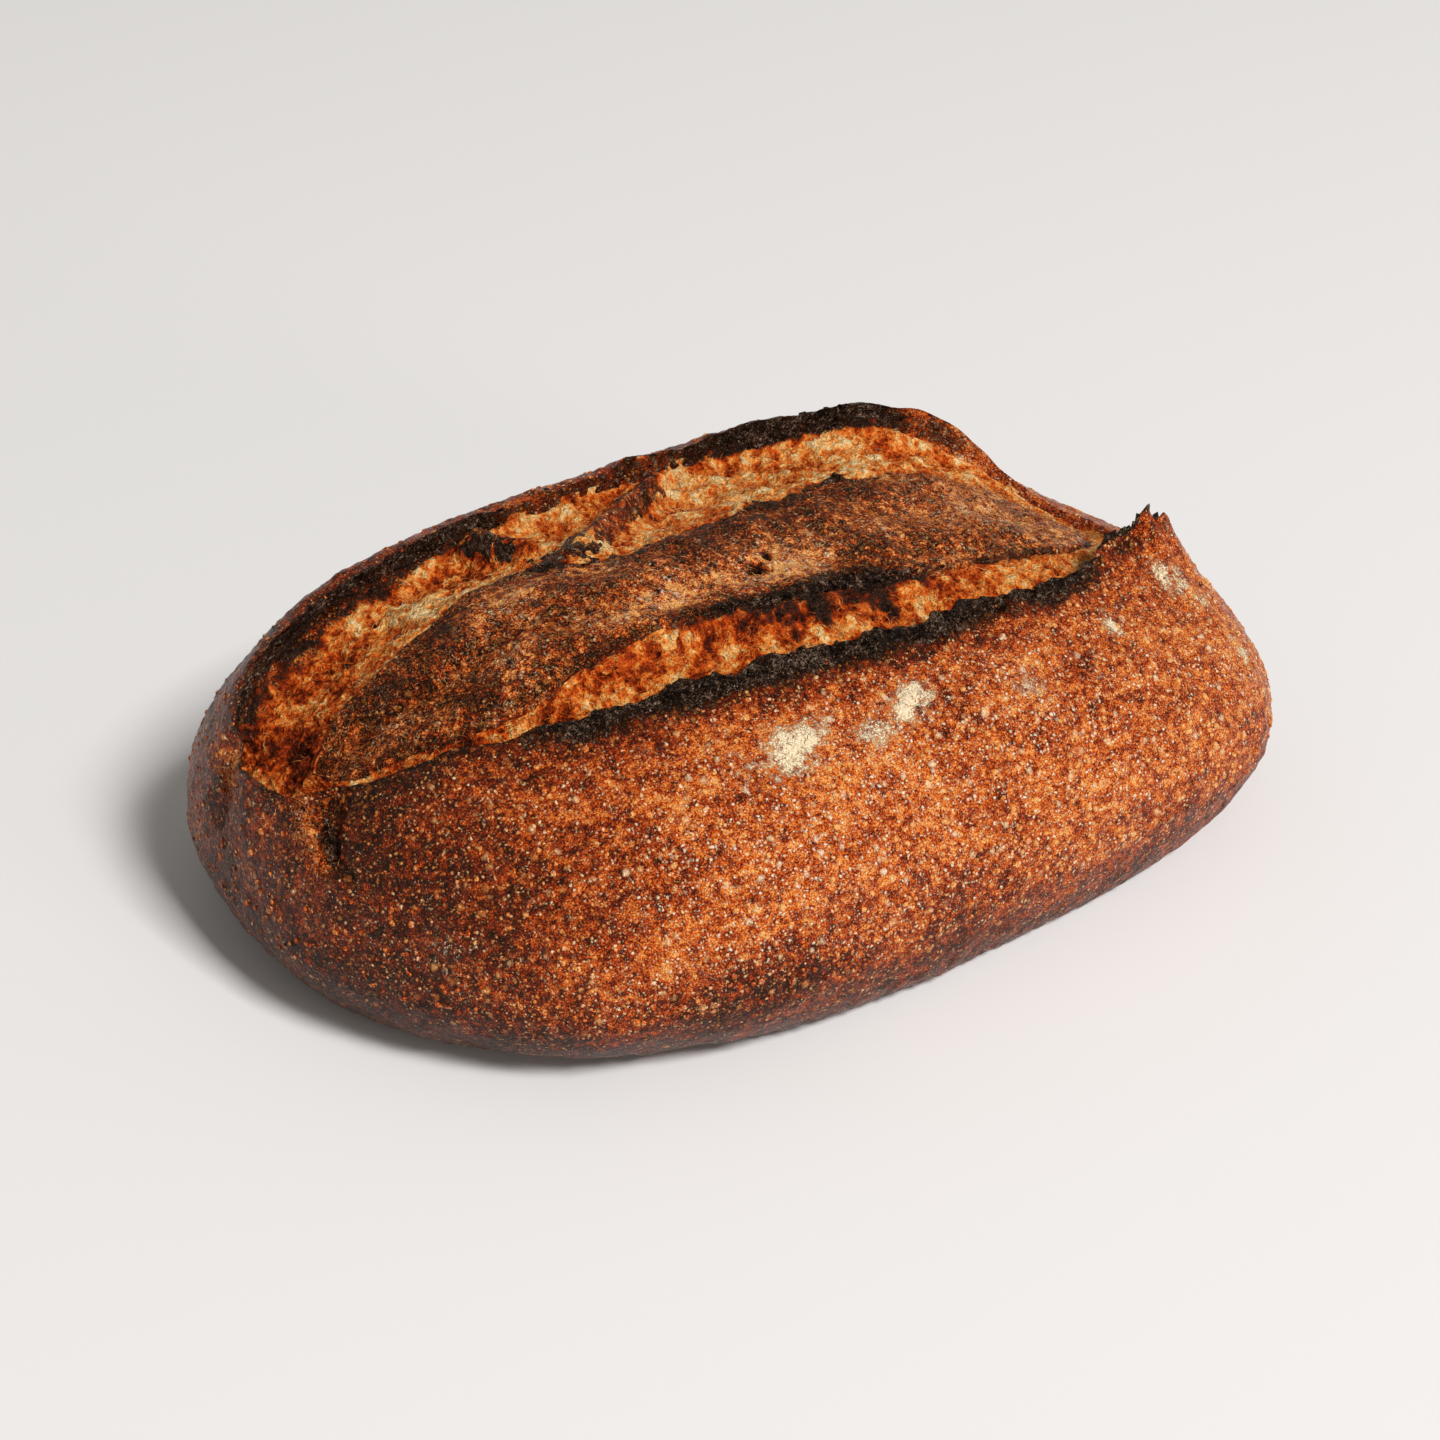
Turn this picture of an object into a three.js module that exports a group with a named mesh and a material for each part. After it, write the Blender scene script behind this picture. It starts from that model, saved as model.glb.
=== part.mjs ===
// A scored, hearth-baked wheat loaf, in millimetres.
// X runs along the loaf, its front side faces -Y and Z is up. It stands on its flat base.
import * as THREE from 'three';

// ---- driving sizes -------------------------------------------------------
const leftHalf = 122; // from the middle to the belly at each end
const rightHalf = 132;
const bellyHeight = 22;
const frontHalf = 78; // from the long axis to the belly
const rearHalf = 91;
const leftEndRoundness = 2.45; // exponents of the outline seen from above
const rightEndRoundness = 3.3;

const footLeft = 101; // the flat base
const footRight = 122;
const footFront = 67.5;
const footRear = 66;
const footLeftRoundness = 1.6;
const footRightRoundness = 3.2;

const wallRoundness = 1.95; // how full the crust is between belly and ear
const lowCurve = 1.1; // how the crust tucks in under the belly
const lowRise = 1.2;

const keelShare = 0.75; // length of the line where the base's two sides meet, over the base's
const crownShare = 0.91; // the same on the strip
const stripBulge = 0.07; // its rise over its width

const columnsPerSide = 88;
const baseSteps = [0, 0.5];
const tuckSteps = [0, 0.22, 0.42, 0.6, 0.77, 0.9];
const wallSteps = [0, 0.13, 0.26, 0.39, 0.52, 0.65, 0.77, 0.87, 0.94, 0.975];
const tearSteps = [0, 0.05, 0.13, 0.26, 0.44, 0.64, 0.84, 0.95];
const topSteps = [0, 0.1, 0.4, 0.7, 1];

// The torn rims of the crust ("ears") and of the strip of crust between the two
// slashes, each from the left end to the right one, as x, y, z.
const frontEar = [
  [-117, 14, 57], [-114, 3, 57], [-109, -4, 59], [-103, -8, 61], [-88, -14, 66], [-71, -22, 69],
  [-52, -29, 72], [-15, -34, 73], [22, -36, 71], [56, -35, 68], [77, -32, 66], [90, -28, 63],
  [101, -27, 61], [109, -26, 58], [113, -21, 55], [115, -15, 53], [116, -7, 51],
];
const rearEar = [
  [-117, 14, 57], [-116, 21, 56], [-113, 27, 60], [-105, 34, 66], [-83, 45, 72], [-67, 49, 74],
  [-33, 54, 75], [3, 55, 75], [37, 53, 75], [56, 50, 76], [72, 46, 75], [86, 40, 69],
  [96, 33, 62], [105, 22, 54], [112, 6, 50], [116, -7, 51],
];
const stripFront = [
  [-105, 5, 59], [-101, -3, 60], [-91, -9, 65], [-76, -15, 70], [-62, -19, 74], [-49, -17, 78],
  [-22, -17, 81], [19, -19, 76], [51, -19, 71], [76, -17, 65], [93, -14, 59], [101, -7, 55],
  [104, 3, 52],
];
const stripRear = [
  [-105, 5, 59], [-103, 8, 60], [-94, 12, 66], [-72, 16, 75], [-57, 20, 79], [-41, 20, 80],
  [-30, 16, 80], [-20, 14, 80], [-8, 13, 80], [6, 15, 79], [25, 21, 76], [42, 23, 75],
  [72, 22, 68], [89, 19, 60], [99, 13, 54], [104, 3, 52],
];

// Depth of the torn crumb below the line from ear to strip, by x.
const frontTearDepth = [[-117, 9], [-104, 7], [-87, 2], [-60, 2.5], [12, 4], [67, 5], [87, 3], [102, 2], [116, 3]];
const rearTearDepth = [[-117, 9], [-107, 9], [-73, 8], [-6, 6], [60, 6], [95, 3], [116, 3]];
const undercut = 0.3; // share of that depth by which the crumb goes in under the ear

// The front crust runs on past the end of its slash as a jagged, upright horn.
const hornHeight = [
  [77, 0], [83, 2.5], [89, 7], [94, 7.5], [98, 9], [101.5, 12.5], [104, 10], [106.5, 12],
  [109, 10.5], [112, 5], [114.5, 0],
];
const frontLip = [[-69, 0], [-61, 2], [32, 2], [36, 1], [40, 2.5], [75, 1.5], [82, 0]];
const rearLip = [
  [-108, 0], [-98, 1.5], [-21, 0.5], [-17, 2], [-13, 0.5], [2, 0.5], [6, 2.5], [12, 1],
  [27, 1], [30, 2.5], [35, 1.5], [78, 2], [84, 4], [92, 4.5], [97, 3], [101, 0],
];

// Ridges of crust that still bridge the rear slash: from, to, half widths, height.
const bridges = [
  { from: [-32, 20], to: [10, 46], halfWidths: [7, 3], height: 1.5 },
  { from: [-40, 47], to: [-34, 32], halfWidths: [3, 3], height: 2.5 },
];
// Gashes in the wall at the left end: from, to, half widths and depth.
const gashes = [
  { from: [-110, -7, 60], to: [-116, -18, 46], halfWidths: [4.5, 1.5], depth: 7 },
  { from: [-118, 25, 57], to: [-123, 26, 40], halfWidths: [4, 3], depth: 4 },
];
const pit = { at: [-108, 6], radius: 8, depth: 5 }; // where the two slashes meet

const crustRelief = 0.8;
const crumbRelief = 1.9;
const earRelief = 1.3;

// ---- helpers -------------------------------------------------------------
// Smooth curve through [x, value] pairs.
function curve(pairs) {
  const slope = pairs.map((_, i) => {
    const a = pairs[Math.max(0, i - 1)];
    const b = pairs[Math.min(pairs.length - 1, i + 1)];
    return (b[1] - a[1]) / (b[0] - a[0]);
  });
  return (x) => {
    const last = pairs.length - 1;
    if (x <= pairs[0][0]) return pairs[0][1];
    if (x >= pairs[last][0]) return pairs[last][1];
    const i = pairs.findIndex((pair) => pair[0] > x) - 1;
    const [x0, y0] = pairs[i];
    const [x1, y1] = pairs[i + 1];
    const h = x1 - x0;
    const t = (x - x0) / h;
    const u = t * t * (3 - 2 * t);
    return y0 + (y1 - y0) * u + h * (slope[i] * t * (1 - t) ** 2 - slope[i + 1] * t * t * (1 - t));
  };
}

// A rim as two curves over the share s of its own half length.
function rim(points) {
  const left = -points[0][0];
  const right = points.at(-1)[0];
  const share = (x) => (x < 0 ? x / left : x / right);
  const y = curve(points.map((p) => [share(p[0]), p[1]]));
  const z = curve(points.map((p) => [share(p[0]), p[2]]));
  return (s) => new THREE.Vector3(s * (s < 0 ? left : right), y(s), z(s));
}

// Repeatable lumps from -1 to 1 with the given size.
function lumps(x, y, z, size) {
  const cell = [x, y, z].map((v) => Math.floor(v / size));
  const part = [x, y, z].map((v, i) => v / size - cell[i]).map((t) => t * t * (3 - 2 * t));
  let sum = 0;
  for (let corner = 0; corner < 8; corner++) {
    const step = [corner & 1, (corner >> 1) & 1, corner >> 2];
    const [i, j, k] = cell.map((c, axis) => c + step[axis]);
    const wave = Math.sin(i * 127.1 + j * 311.7 + k * 74.7) * 43758.5453;
    const weight = step.reduce((w, on, axis) => w * (on ? part[axis] : 1 - part[axis]), 1);
    sum += weight * (wave - Math.floor(wave));
  }
  return 2 * sum - 1;
}

// How far point p is along and away from a tapering segment: 1 on it, 0 outside.
function nearness(p, { from, to, halfWidths }) {
  const along = to.map((v, i) => v - from[i]);
  const length2 = along.reduce((sum, v) => sum + v * v, 0);
  const dot = along.reduce((sum, v, i) => sum + v * (p[i] - from[i]), 0);
  const t = Math.min(1, Math.max(0, dot / length2));
  const away = Math.hypot(...along.map((v, i) => p[i] - from[i] - v * t));
  const width = halfWidths[0] + (halfWidths[1] - halfWidths[0]) * t;
  return Math.exp(-((away / width) ** 2) * 0.9);
}

// ---- the form ------------------------------------------------------------
const lines = {
  ear: { front: rim(frontEar), rear: rim(rearEar) },
  strip: { front: rim(stripFront), rear: rim(stripRear) },
};
const tearDepth = { front: curve(frontTearDepth), rear: curve(rearTearDepth) };
const lip = { front: curve(frontLip), rear: curve(rearLip) };
const horn = curve(hornHeight);
const bellyShift = curve([[-1, 16], [-0.6, 0], [0.6, 0], [1, -7]]);

// Shares s of the half length, evenly spaced along the outline of the belly, each with the share
// k of the half width there and a share that spaces the points on the two seams out more evenly.
function evenShares(count) {
  const fine = 4000;
  const points = [];
  for (let i = 0; i <= fine; i++) {
    const angle = (i / fine - 0.5) * Math.PI;
    const power = 2 / (angle < 0 ? leftEndRoundness : rightEndRoundness);
    const s = Math.sign(angle) * Math.abs(Math.sin(angle)) ** power;
    points.push([s, Math.cos(angle) ** power]);
  }
  const lengths = [0];
  for (let i = 1; i <= fine; i++) {
    const run = (points[i][0] - points[i - 1][0]) * (points[i][0] < 0 ? leftHalf : rightHalf);
    const rise = (points[i][1] - points[i - 1][1]) * frontHalf;
    lengths.push(lengths[i - 1] + Math.hypot(run, rise));
  }
  const shares = [];
  for (let i = 0, j = 0; i <= count; i++) {
    while (j < fine && lengths[j] < (i / count) * lengths[fine] - 1e-9) j++;
    shares.push([...points[j], (points[j][0] + 2 * (i / count) - 1) / 2]);
  }
  return shares;
}

// Everything that one column of points, from base to top, hangs on.
function columnAt([s, k, seam], side) {
  const front = side === 'front';
  const footRoundness = s < 0 ? footLeftRoundness : footRightRoundness;
  const footShare = Math.max(0, 1 - Math.abs(s) ** footRoundness) ** (1 / footRoundness);
  const halfLength = s < 0 ? leftHalf : rightHalf;
  const belly = new THREE.Vector3(s * halfLength, (front ? -frontHalf : rearHalf) * k + bellyShift(s), bellyHeight);
  const footHalf = s < 0 ? footLeft : footRight;
  const foot = new THREE.Vector3(s * footHalf, (front ? -footFront : footRear) * footShare, 0);
  const ear = lines.ear[side](s);
  const strip = lines.strip[side](s);
  const [a, b] = [lines.strip.front(seam), lines.strip.rear(seam)];
  const crown = new THREE.Vector3(a.x * crownShare, (a.y + b.y) / 2, (a.z + b.z) / 2 + stripBulge * (b.y - a.y));
  const keel = new THREE.Vector3(seam * footHalf * keelShare, 0, 0);
  return { side, keel, foot, belly, ear, strip, crown };
}

function tuckPoint({ foot, belly }, share) {
  const angle = share * Math.PI * 0.5;
  const point = foot.clone().lerp(belly, Math.sin(angle) ** lowCurve);
  point.z = bellyHeight * (1 - Math.cos(angle) ** lowRise);
  return point;
}

// From belly to ear the crust follows part of a superellipse.
function wallPoint({ side, belly, ear }, share) {
  const inset = Math.hypot(belly.x - ear.x, belly.y - ear.y);
  const kept = 1 - inset / frontHalf;
  const height = (ear.z - bellyHeight) / (1 - kept ** wallRoundness) ** (1 / wallRoundness);
  const angle = share * Math.acos(kept ** (wallRoundness / 2));
  const point = belly.clone().lerp(ear, (1 - Math.cos(angle) ** (2 / wallRoundness)) / (1 - kept));
  point.z = bellyHeight + height * Math.sin(angle) ** (2 / wallRoundness);
  point.z += lip[side](ear.x) * share ** 14;
  if (side === 'front') point.z += horn(ear.x) * share ** 7;
  return point;
}

function tearPoint({ side, ear, strip }, share) {
  const point = ear.clone().lerp(strip, share);
  const covered = side === 'rear' ? Math.max(...bridges.map((bridge) => nearness([point.x, point.y], bridge))) : 0;
  const sag = Math.sin(Math.PI * share ** 0.55);
  const depth = tearDepth[side](ear.x) * sag * (1 - covered);
  const inward = strip.clone().sub(ear).setZ(0).normalize();
  point.addScaledVector(inward, share < 0.4 ? -undercut * depth : 0);
  const raised = side === 'front' ? horn(ear.x) * Math.max(0, 1 - share / 0.16) ** 0.7 : 0;
  const lipLeft = lip[side](ear.x) * Math.max(0, 1 - share / 0.1);
  const crust = side === 'rear' ? Math.max(...bridges.map((b) => b.height * nearness([point.x, point.y], b))) : 0;
  point.z += raised + lipLeft + crust * Math.min(1, 4 * share) * Math.min(1, 4 * (1 - share)) - depth;
  point.z -= crumbRelief * Math.max(0, lumps(point.x, point.y, point.z, 9)) * Math.min(1, 5 * share * (1 - share));
  return point;
}

function topPoint({ strip, crown }, share) {
  const point = strip.clone().lerp(crown, share);
  point.z = strip.z + (crown.z - strip.z) * Math.sin(share * Math.PI * 0.5);
  const fromPit = Math.hypot(point.x - pit.at[0], point.y - pit.at[1]) / pit.radius;
  point.z -= pit.depth * Math.exp(-(fromPit ** 2));
  return point;
}

// Unevenness of the crust, ragged rims and the gashes at the left end.
function weather(point, ragged) {
  const outward = new THREE.Vector3(point.x / rightHalf ** 2, point.y / frontHalf ** 2, 0).normalize();
  const broad = lumps(point.x, point.y, point.z, 34) * crustRelief;
  const jag = lumps(point.x + 50, point.y, point.z, 7.5) * earRelief * ragged;
  const cut = Math.max(...gashes.map((gash) => gash.depth * nearness(point.toArray(), gash)));
  point.addScaledVector(outward, Math.min(1, point.z / 12) * broad - cut);
  point.z += jag;
}

// ---- the surface ---------------------------------------------------------
const rows = [
  ...baseSteps.map((share) => ({ at: (c) => c.keel.clone().lerp(c.foot, share), still: true })),
  ...tuckSteps.map((share) => ({ at: (c) => tuckPoint(c, share), still: share === 0, ragged: 0 })),
  ...wallSteps.map((share) => ({ at: (c) => wallPoint(c, share), ragged: share ** 20 })),
  ...tearSteps.map((share) => ({ at: (c) => tearPoint(c, share), ragged: Math.max(0, 1 - 8 * share) })),
  ...topSteps.map((share) => ({ at: (c) => topPoint(c, share), ragged: share === 0 ? 0.8 : 0 })),
];

const shares = evenShares(columnsPerSide);
const columns = [
  ...shares.map((share) => columnAt(share, 'front')),
  ...shares.slice(1, -1).reverse().map((share) => columnAt(share, 'rear')),
];

const positions = [];
const pointIds = columns.map((column, c) =>
  rows.map((row, r) => {
    const onSeam = r === 0 || r === rows.length - 1; // both sides meet on the keel and on the crown
    if (onSeam && c > columnsPerSide) return -1;
    const point = row.at(column);
    if (!row.still) weather(point, row.ragged);
    positions.push(...point.toArray());
    return positions.length / 3 - 1;
  }),
);
for (let c = columnsPerSide + 1; c < columns.length; c++) {
  const mirrored = pointIds[columns.length - c];
  pointIds[c][0] = mirrored[0];
  pointIds[c][rows.length - 1] = mirrored[rows.length - 1];
}

const triangles = [];
for (let c = 0; c < columns.length; c++) {
  const here = pointIds[c];
  const next = pointIds[(c + 1) % columns.length];
  const leaningOut = c % columnsPerSide < columnsPerSide / 2; // keeps end triangles off the seams
  for (let r = 0; r + 1 < rows.length; r++) {
    if (leaningOut) triangles.push(here[r], next[r], next[r + 1], here[r], next[r + 1], here[r + 1]);
    else triangles.push(here[r], next[r], here[r + 1], next[r], next[r + 1], here[r + 1]);
  }
}

const geometry = new THREE.BufferGeometry();
geometry.setAttribute('position', new THREE.Float32BufferAttribute(positions, 3));
geometry.setIndex(triangles);
geometry.computeBoundingBox();
const middle = geometry.boundingBox.getCenter(new THREE.Vector3());
geometry.translate(-middle.x, -middle.y, 0);
geometry.computeVertexNormals();

const crust = new THREE.MeshStandardMaterial({ color: '#8c4a26', roughness: 0.7, metalness: 0 });
const loaf = new THREE.Mesh(geometry, crust);
loaf.name = 'loaf';

const bread = new THREE.Group();
bread.add(loaf);

export default bread;
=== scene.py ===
import math
import bpy
import numpy as np
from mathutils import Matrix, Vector


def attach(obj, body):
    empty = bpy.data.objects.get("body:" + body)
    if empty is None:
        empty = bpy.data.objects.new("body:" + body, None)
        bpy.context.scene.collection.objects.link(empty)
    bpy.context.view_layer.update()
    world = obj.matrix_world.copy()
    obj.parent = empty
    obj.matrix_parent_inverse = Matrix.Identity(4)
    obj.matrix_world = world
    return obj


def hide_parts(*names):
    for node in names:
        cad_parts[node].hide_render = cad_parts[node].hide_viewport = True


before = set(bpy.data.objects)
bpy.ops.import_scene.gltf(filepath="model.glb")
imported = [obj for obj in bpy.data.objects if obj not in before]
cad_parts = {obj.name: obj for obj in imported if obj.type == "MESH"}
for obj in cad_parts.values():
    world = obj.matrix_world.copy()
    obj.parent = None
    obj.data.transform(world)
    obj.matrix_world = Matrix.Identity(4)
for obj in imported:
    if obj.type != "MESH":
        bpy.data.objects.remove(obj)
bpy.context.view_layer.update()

# Lengths are in millimetres while the shapes are worked out, and in metres once they are meshes.
# X runs along the loaf, its front side faces -Y and Z is up, as in the solids.
form = {
    "leftHalf": 122, "rightHalf": 132, "bellyHeight": 22, "frontHalf": 78, "rearHalf": 91,
    "leftRoundness": 2.45, "rightRoundness": 3.3,  # exponents of the outline seen from above
    "bellyShift": [(-1, 16), (-0.6, 0), (0.6, 0), (1, -7)],  # how far the ends sit to the rear of the axis
    "footLeft": 101, "footRight": 122, "footFront": 67.5, "footRear": 66,
    "footLeftRoundness": 1.6, "footRightRoundness": 3.2,
    "wallRoundness": 1.95, "lowCurve": 1.1, "lowRise": 1.2,
    "keelShare": 0.75, "crownShare": 0.91, "stripBulge": 0.07,
    "broadMm": 34, "broadRelief": 0.8, "calmBelow": 12,  # broad unevenness of the crust, less near the table
    "shift": (-5.29, -5.86),  # puts the middle of the loaf's box on the origin
}
# The torn rims of the crust and of the strip between the two slashes, left to right, as x, y, z.
rims = {
    "frontEar": [
        (-117, 14, 57), (-114, 3, 57), (-109, -4, 59), (-103, -8, 61), (-88, -14, 66), (-71, -22, 69),
        (-52, -29, 72), (-15, -34, 73), (22, -36, 71), (56, -35, 68), (77, -32, 66), (90, -28, 63),
        (101, -27, 61), (109, -26, 58), (113, -21, 55), (115, -15, 53), (116, -7, 51)],
    "rearEar": [
        (-117, 14, 57), (-116, 21, 56), (-113, 27, 60), (-105, 34, 66), (-83, 45, 72), (-67, 49, 74),
        (-33, 54, 75), (3, 55, 75), (37, 53, 75), (56, 50, 76), (72, 46, 75), (86, 40, 69),
        (96, 33, 62), (105, 22, 54), (112, 6, 50), (116, -7, 51)],
    "frontStrip": [
        (-105, 5, 59), (-101, -3, 60), (-91, -9, 65), (-76, -15, 70), (-62, -19, 74), (-49, -17, 78),
        (-22, -17, 81), (19, -19, 76), (51, -19, 71), (76, -17, 65), (93, -14, 59), (101, -7, 55),
        (104, 3, 52)],
    "rearStrip": [
        (-105, 5, 59), (-103, 8, 60), (-94, 12, 66), (-72, 16, 75), (-57, 20, 79), (-41, 20, 80),
        (-30, 16, 80), (-20, 14, 80), (-8, 13, 80), (6, 15, 79), (25, 21, 76), (42, 23, 75),
        (72, 22, 68), (89, 19, 60), (99, 13, 54), (104, 3, 52)],
}
tears = {
    "frontDepth": [
        (-117, 9), (-104, 7), (-87, 2), (-60, 2.5), (12, 4), (67, 5), (87, 3), (102, 2), (116, 3)],
    "rearDepth": [(-117, 9), (-107, 9), (-73, 8), (-6, 6), (60, 6), (95, 3), (116, 3)],
    "deepest": 0.55,  # exponent that brings the deepest line nearer the ear
    "undercut": 0.3, "undercutShare": 0.4,
    "horn": [
        (77, 0), (83, 2.5), (88, 6), (90, 7.5), (94, 7), (97, 8), (101.5, 12.5), (104, 9.5), (107.5, 11),
        (109.5, 10), (112, 5), (114.5, 0)],
    "frontLip": [(-69, 0), (-61, 2), (32, 2), (36, 1), (40, 2.5), (75, 1.5), (82, 0)],
    "rearLip": [
        (-108, 0), (-98, 1.5), (-21, 0.5), (-17, 2), (-13, 0.5), (2, 0.5), (6, 2.5), (12, 1),
        (27, 1), (30, 2.5), (35, 1.5), (78, 2), (84, 4), (92, 4.5), (97, 3), (101, 0)],
    "lipSteepness": 14, "hornSteepness": 7,
    # ridges of crust that bridge the rear slash: from, to, half widths, height
    "bridges": [((-32, 20), (10, 46), (7, 3), 1.5), ((-40, 47), (-34, 32), (3, 3), 2.5)],
    # gashes in the left end's wall: from, to, half widths, depth
    "gashes": [
        ((-110, -7, 60), (-116, -18, 46), (4.5, 1.5), 7), ((-118, 25, 57), (-123, 26, 40), (4, 3), 4)],
    "pit": ((-108, 6), 8, 5),  # where the two slashes meet: x and y, radius, depth
    "crumbLumpMm": 9, "crumbRelief": 1.9, "jagMm": 7.5, "jagRelief": 1.3,
}


def curveThrough(pairs):  # smooth curve through (x, value) pairs, flat past its ends
    x, y = np.array(pairs, float).T
    before, after = np.r_[0, np.arange(len(x) - 1)], np.r_[np.arange(1, len(x)), len(x) - 1]
    slope = (y[after] - y[before]) / (x[after] - x[before])

    def value(at):
        at = np.clip(at, x[0], x[-1])
        i = np.clip(np.searchsorted(x, at, side="right") - 1, 0, len(x) - 2)
        h = x[i + 1] - x[i]
        t = (at - x[i]) / h
        bend = h * (slope[i] * t * (1 - t) ** 2 - slope[i + 1] * t * t * (1 - t))
        return y[i] + (y[i + 1] - y[i]) * t * t * (3 - 2 * t) + bend
    return value


def rimCurve(points):  # a rim's place at a share of its own half length
    points = np.array(points, float)
    left, right = -points[0, 0], points[-1, 0]
    shares = points[:, 0] / np.where(points[:, 0] < 0, left, right)
    y = curveThrough(list(zip(shares, points[:, 1])))
    z = curveThrough(list(zip(shares, points[:, 2])))
    return lambda s: np.stack([s * np.where(s < 0, left, right), y(s), z(s)], -1)


def hashed(cells, seed=0.0):  # repeatable numbers from 0 to 1, one for each cell
    wave = np.sin(cells[..., 0] * 127.1 + cells[..., 1] * 311.7 + cells[..., 2] * 74.7 + seed) * 43758.5453
    return wave - np.floor(wave)


def lumps(points, size):  # smooth repeatable lumps from -1 to 1, about size across
    cell = np.floor(points / size)
    t = points / size - cell
    t = t * t * (3 - 2 * t)
    total = 0
    for corner in range(8):
        step = np.array([corner & 1, corner >> 1 & 1, corner >> 2])
        weight = np.prod(np.where(step, t, 1 - t), axis=-1)
        total = total + weight * hashed(cell + step)
    return 2 * total - 1


def rough(points, size, octaves, gain=0.5):  # lumps on lumps, each half the size of the last
    return sum(gain ** i * lumps(points + 17.3 * i, size / 2 ** i) for i in range(octaves))


def bubbles(points, size, radius):  # 1 at scattered centres, 0 from the radius on, both over size
    cell = np.floor(points / size)
    best = np.full(points.shape[:-1], 9.0)
    for n in range(27):
        near = cell + np.array([n % 3 - 1, n // 3 % 3 - 1, n // 9 - 1])
        centre = near + np.stack([hashed(near, seed) for seed in (1.7, 4.1, 9.2)], -1)
        best = np.minimum(best, np.linalg.norm(points / size - centre, axis=-1))
    return np.maximum(0, radius - best) / radius


def fade(x, low, high):  # 0 below low, 1 above high, smooth between
    t = np.clip((x - low) / (high - low), 0, 1)
    return t * t * (3 - 2 * t)


def nearness(points, start, end, halfWidths):  # 1 on a tapering segment, 0 away from it
    start, along = np.array(start, float), np.subtract(end, start).astype(float)
    t = np.clip((points - start) @ along / (along @ along), 0, 1)
    away = np.linalg.norm(points - start - t[..., None] * along, axis=-1)
    return np.exp(-0.9 * (away / (halfWidths[0] + (halfWidths[1] - halfWidths[0]) * t)) ** 2)


def spotSum(points, spots):  # soft spots, each a middle, radii and an amount
    total = np.zeros(points.shape[:-1])
    for centre, radii, amount in spots:
        total = total + amount * np.exp(-(((points - centre) / radii) ** 2).sum(-1))
    return total


curves = {name: rimCurve(points) for name, points in rims.items()}
profiles = {name: curveThrough(tears[name])
            for name in ("frontDepth", "rearDepth", "horn", "frontLip", "rearLip")}
bellyShift = curveThrough(form["bellyShift"])


def halfAt(s):
    return np.where(s < 0, form["leftHalf"], form["rightHalf"])


def evenShares(count):  # shares of the half length, evenly spaced along the belly's outline
    angle = np.linspace(-0.5, 0.5, 4001) * math.pi
    power = 2 / np.where(angle < 0, form["leftRoundness"], form["rightRoundness"])
    s = np.sign(angle) * np.abs(np.sin(angle)) ** power
    k = np.abs(np.cos(angle)) ** power
    steps = np.hypot(np.diff(s) * halfAt(s[:-1]), np.diff(k) * form["frontHalf"])
    lengths = np.r_[0, np.cumsum(steps)]
    wanted = np.linspace(0, lengths[-1], count + 1)
    s, k = np.interp(wanted, lengths, s), np.interp(wanted, lengths, k)
    return s, k, (s + np.linspace(-1, 1, count + 1)) / 2


def flatUnit(v):
    v = v * (1, 1, 0)
    return v / np.linalg.norm(v, axis=-1, keepdims=True)


def columnsAt(s, k, seam, front):  # what each column of points, from base to top, hangs on
    f = form
    roundness = np.where(s < 0, f["footLeftRoundness"], f["footRightRoundness"])
    footShare = np.maximum(0, 1 - np.abs(s) ** roundness) ** (1 / roundness)
    footHalf = np.where(s < 0, f["footLeft"], f["footRight"])
    footY = np.where(front, -f["footFront"], f["footRear"]) * footShare
    zero = np.zeros_like(s)
    bellyY = np.where(front, -f["frontHalf"], f["rearHalf"]) * k + bellyShift(s)
    ear = np.where(front[:, None], curves["frontEar"](s), curves["rearEar"](s))
    strip = np.where(front[:, None], curves["frontStrip"](s), curves["rearStrip"](s))
    a, b = curves["frontStrip"](seam), curves["rearStrip"](seam)
    rise = (a[:, 2] + b[:, 2]) / 2 + f["stripBulge"] * (b[:, 1] - a[:, 1])
    x = ear[:, 0]
    return {
        "front": front,
        "belly": np.stack([s * halfAt(s), bellyY, zero + f["bellyHeight"]], -1),
        "foot": np.stack([s * footHalf, footY, zero], -1),
        "keel": np.stack([seam * footHalf * f["keelShare"], zero, zero], -1),
        "ear": ear, "strip": strip,
        "crown": np.stack([a[:, 0] * f["crownShare"], (a[:, 1] + b[:, 1]) / 2, rise], -1),
        "inward": flatUnit(strip - ear),
        "lip": np.where(front, profiles["frontLip"](x), profiles["rearLip"](x)),
        "horn": np.where(front, profiles["horn"](x), 0),
        "depth": np.where(front, profiles["frontDepth"](x), profiles["rearDepth"](x)),
    }


def tuckRow(c, share):
    angle = share * math.pi / 2
    row = c["foot"] + (c["belly"] - c["foot"]) * math.sin(angle) ** form["lowCurve"]
    row[:, 2] = form["bellyHeight"] * (1 - math.cos(angle) ** form["lowRise"])
    return row


def wallRow(c, share):
    p, belly, ear = form["wallRoundness"], c["belly"], c["ear"]
    kept = 1 - np.linalg.norm((belly - ear)[:, :2], axis=1) / form["frontHalf"]
    height = (ear[:, 2] - form["bellyHeight"]) / (1 - kept ** p) ** (1 / p)
    angle = share * np.arccos(kept ** (p / 2))
    row = belly + (ear - belly) * ((1 - np.cos(angle) ** (2 / p)) / (1 - kept))[:, None]
    row[:, 2] = form["bellyHeight"] + height * np.sin(angle) ** (2 / p)
    row[:, 2] += c["lip"] * share ** tears["lipSteepness"] + c["horn"] * share ** tears["hornSteepness"]
    return row


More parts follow.
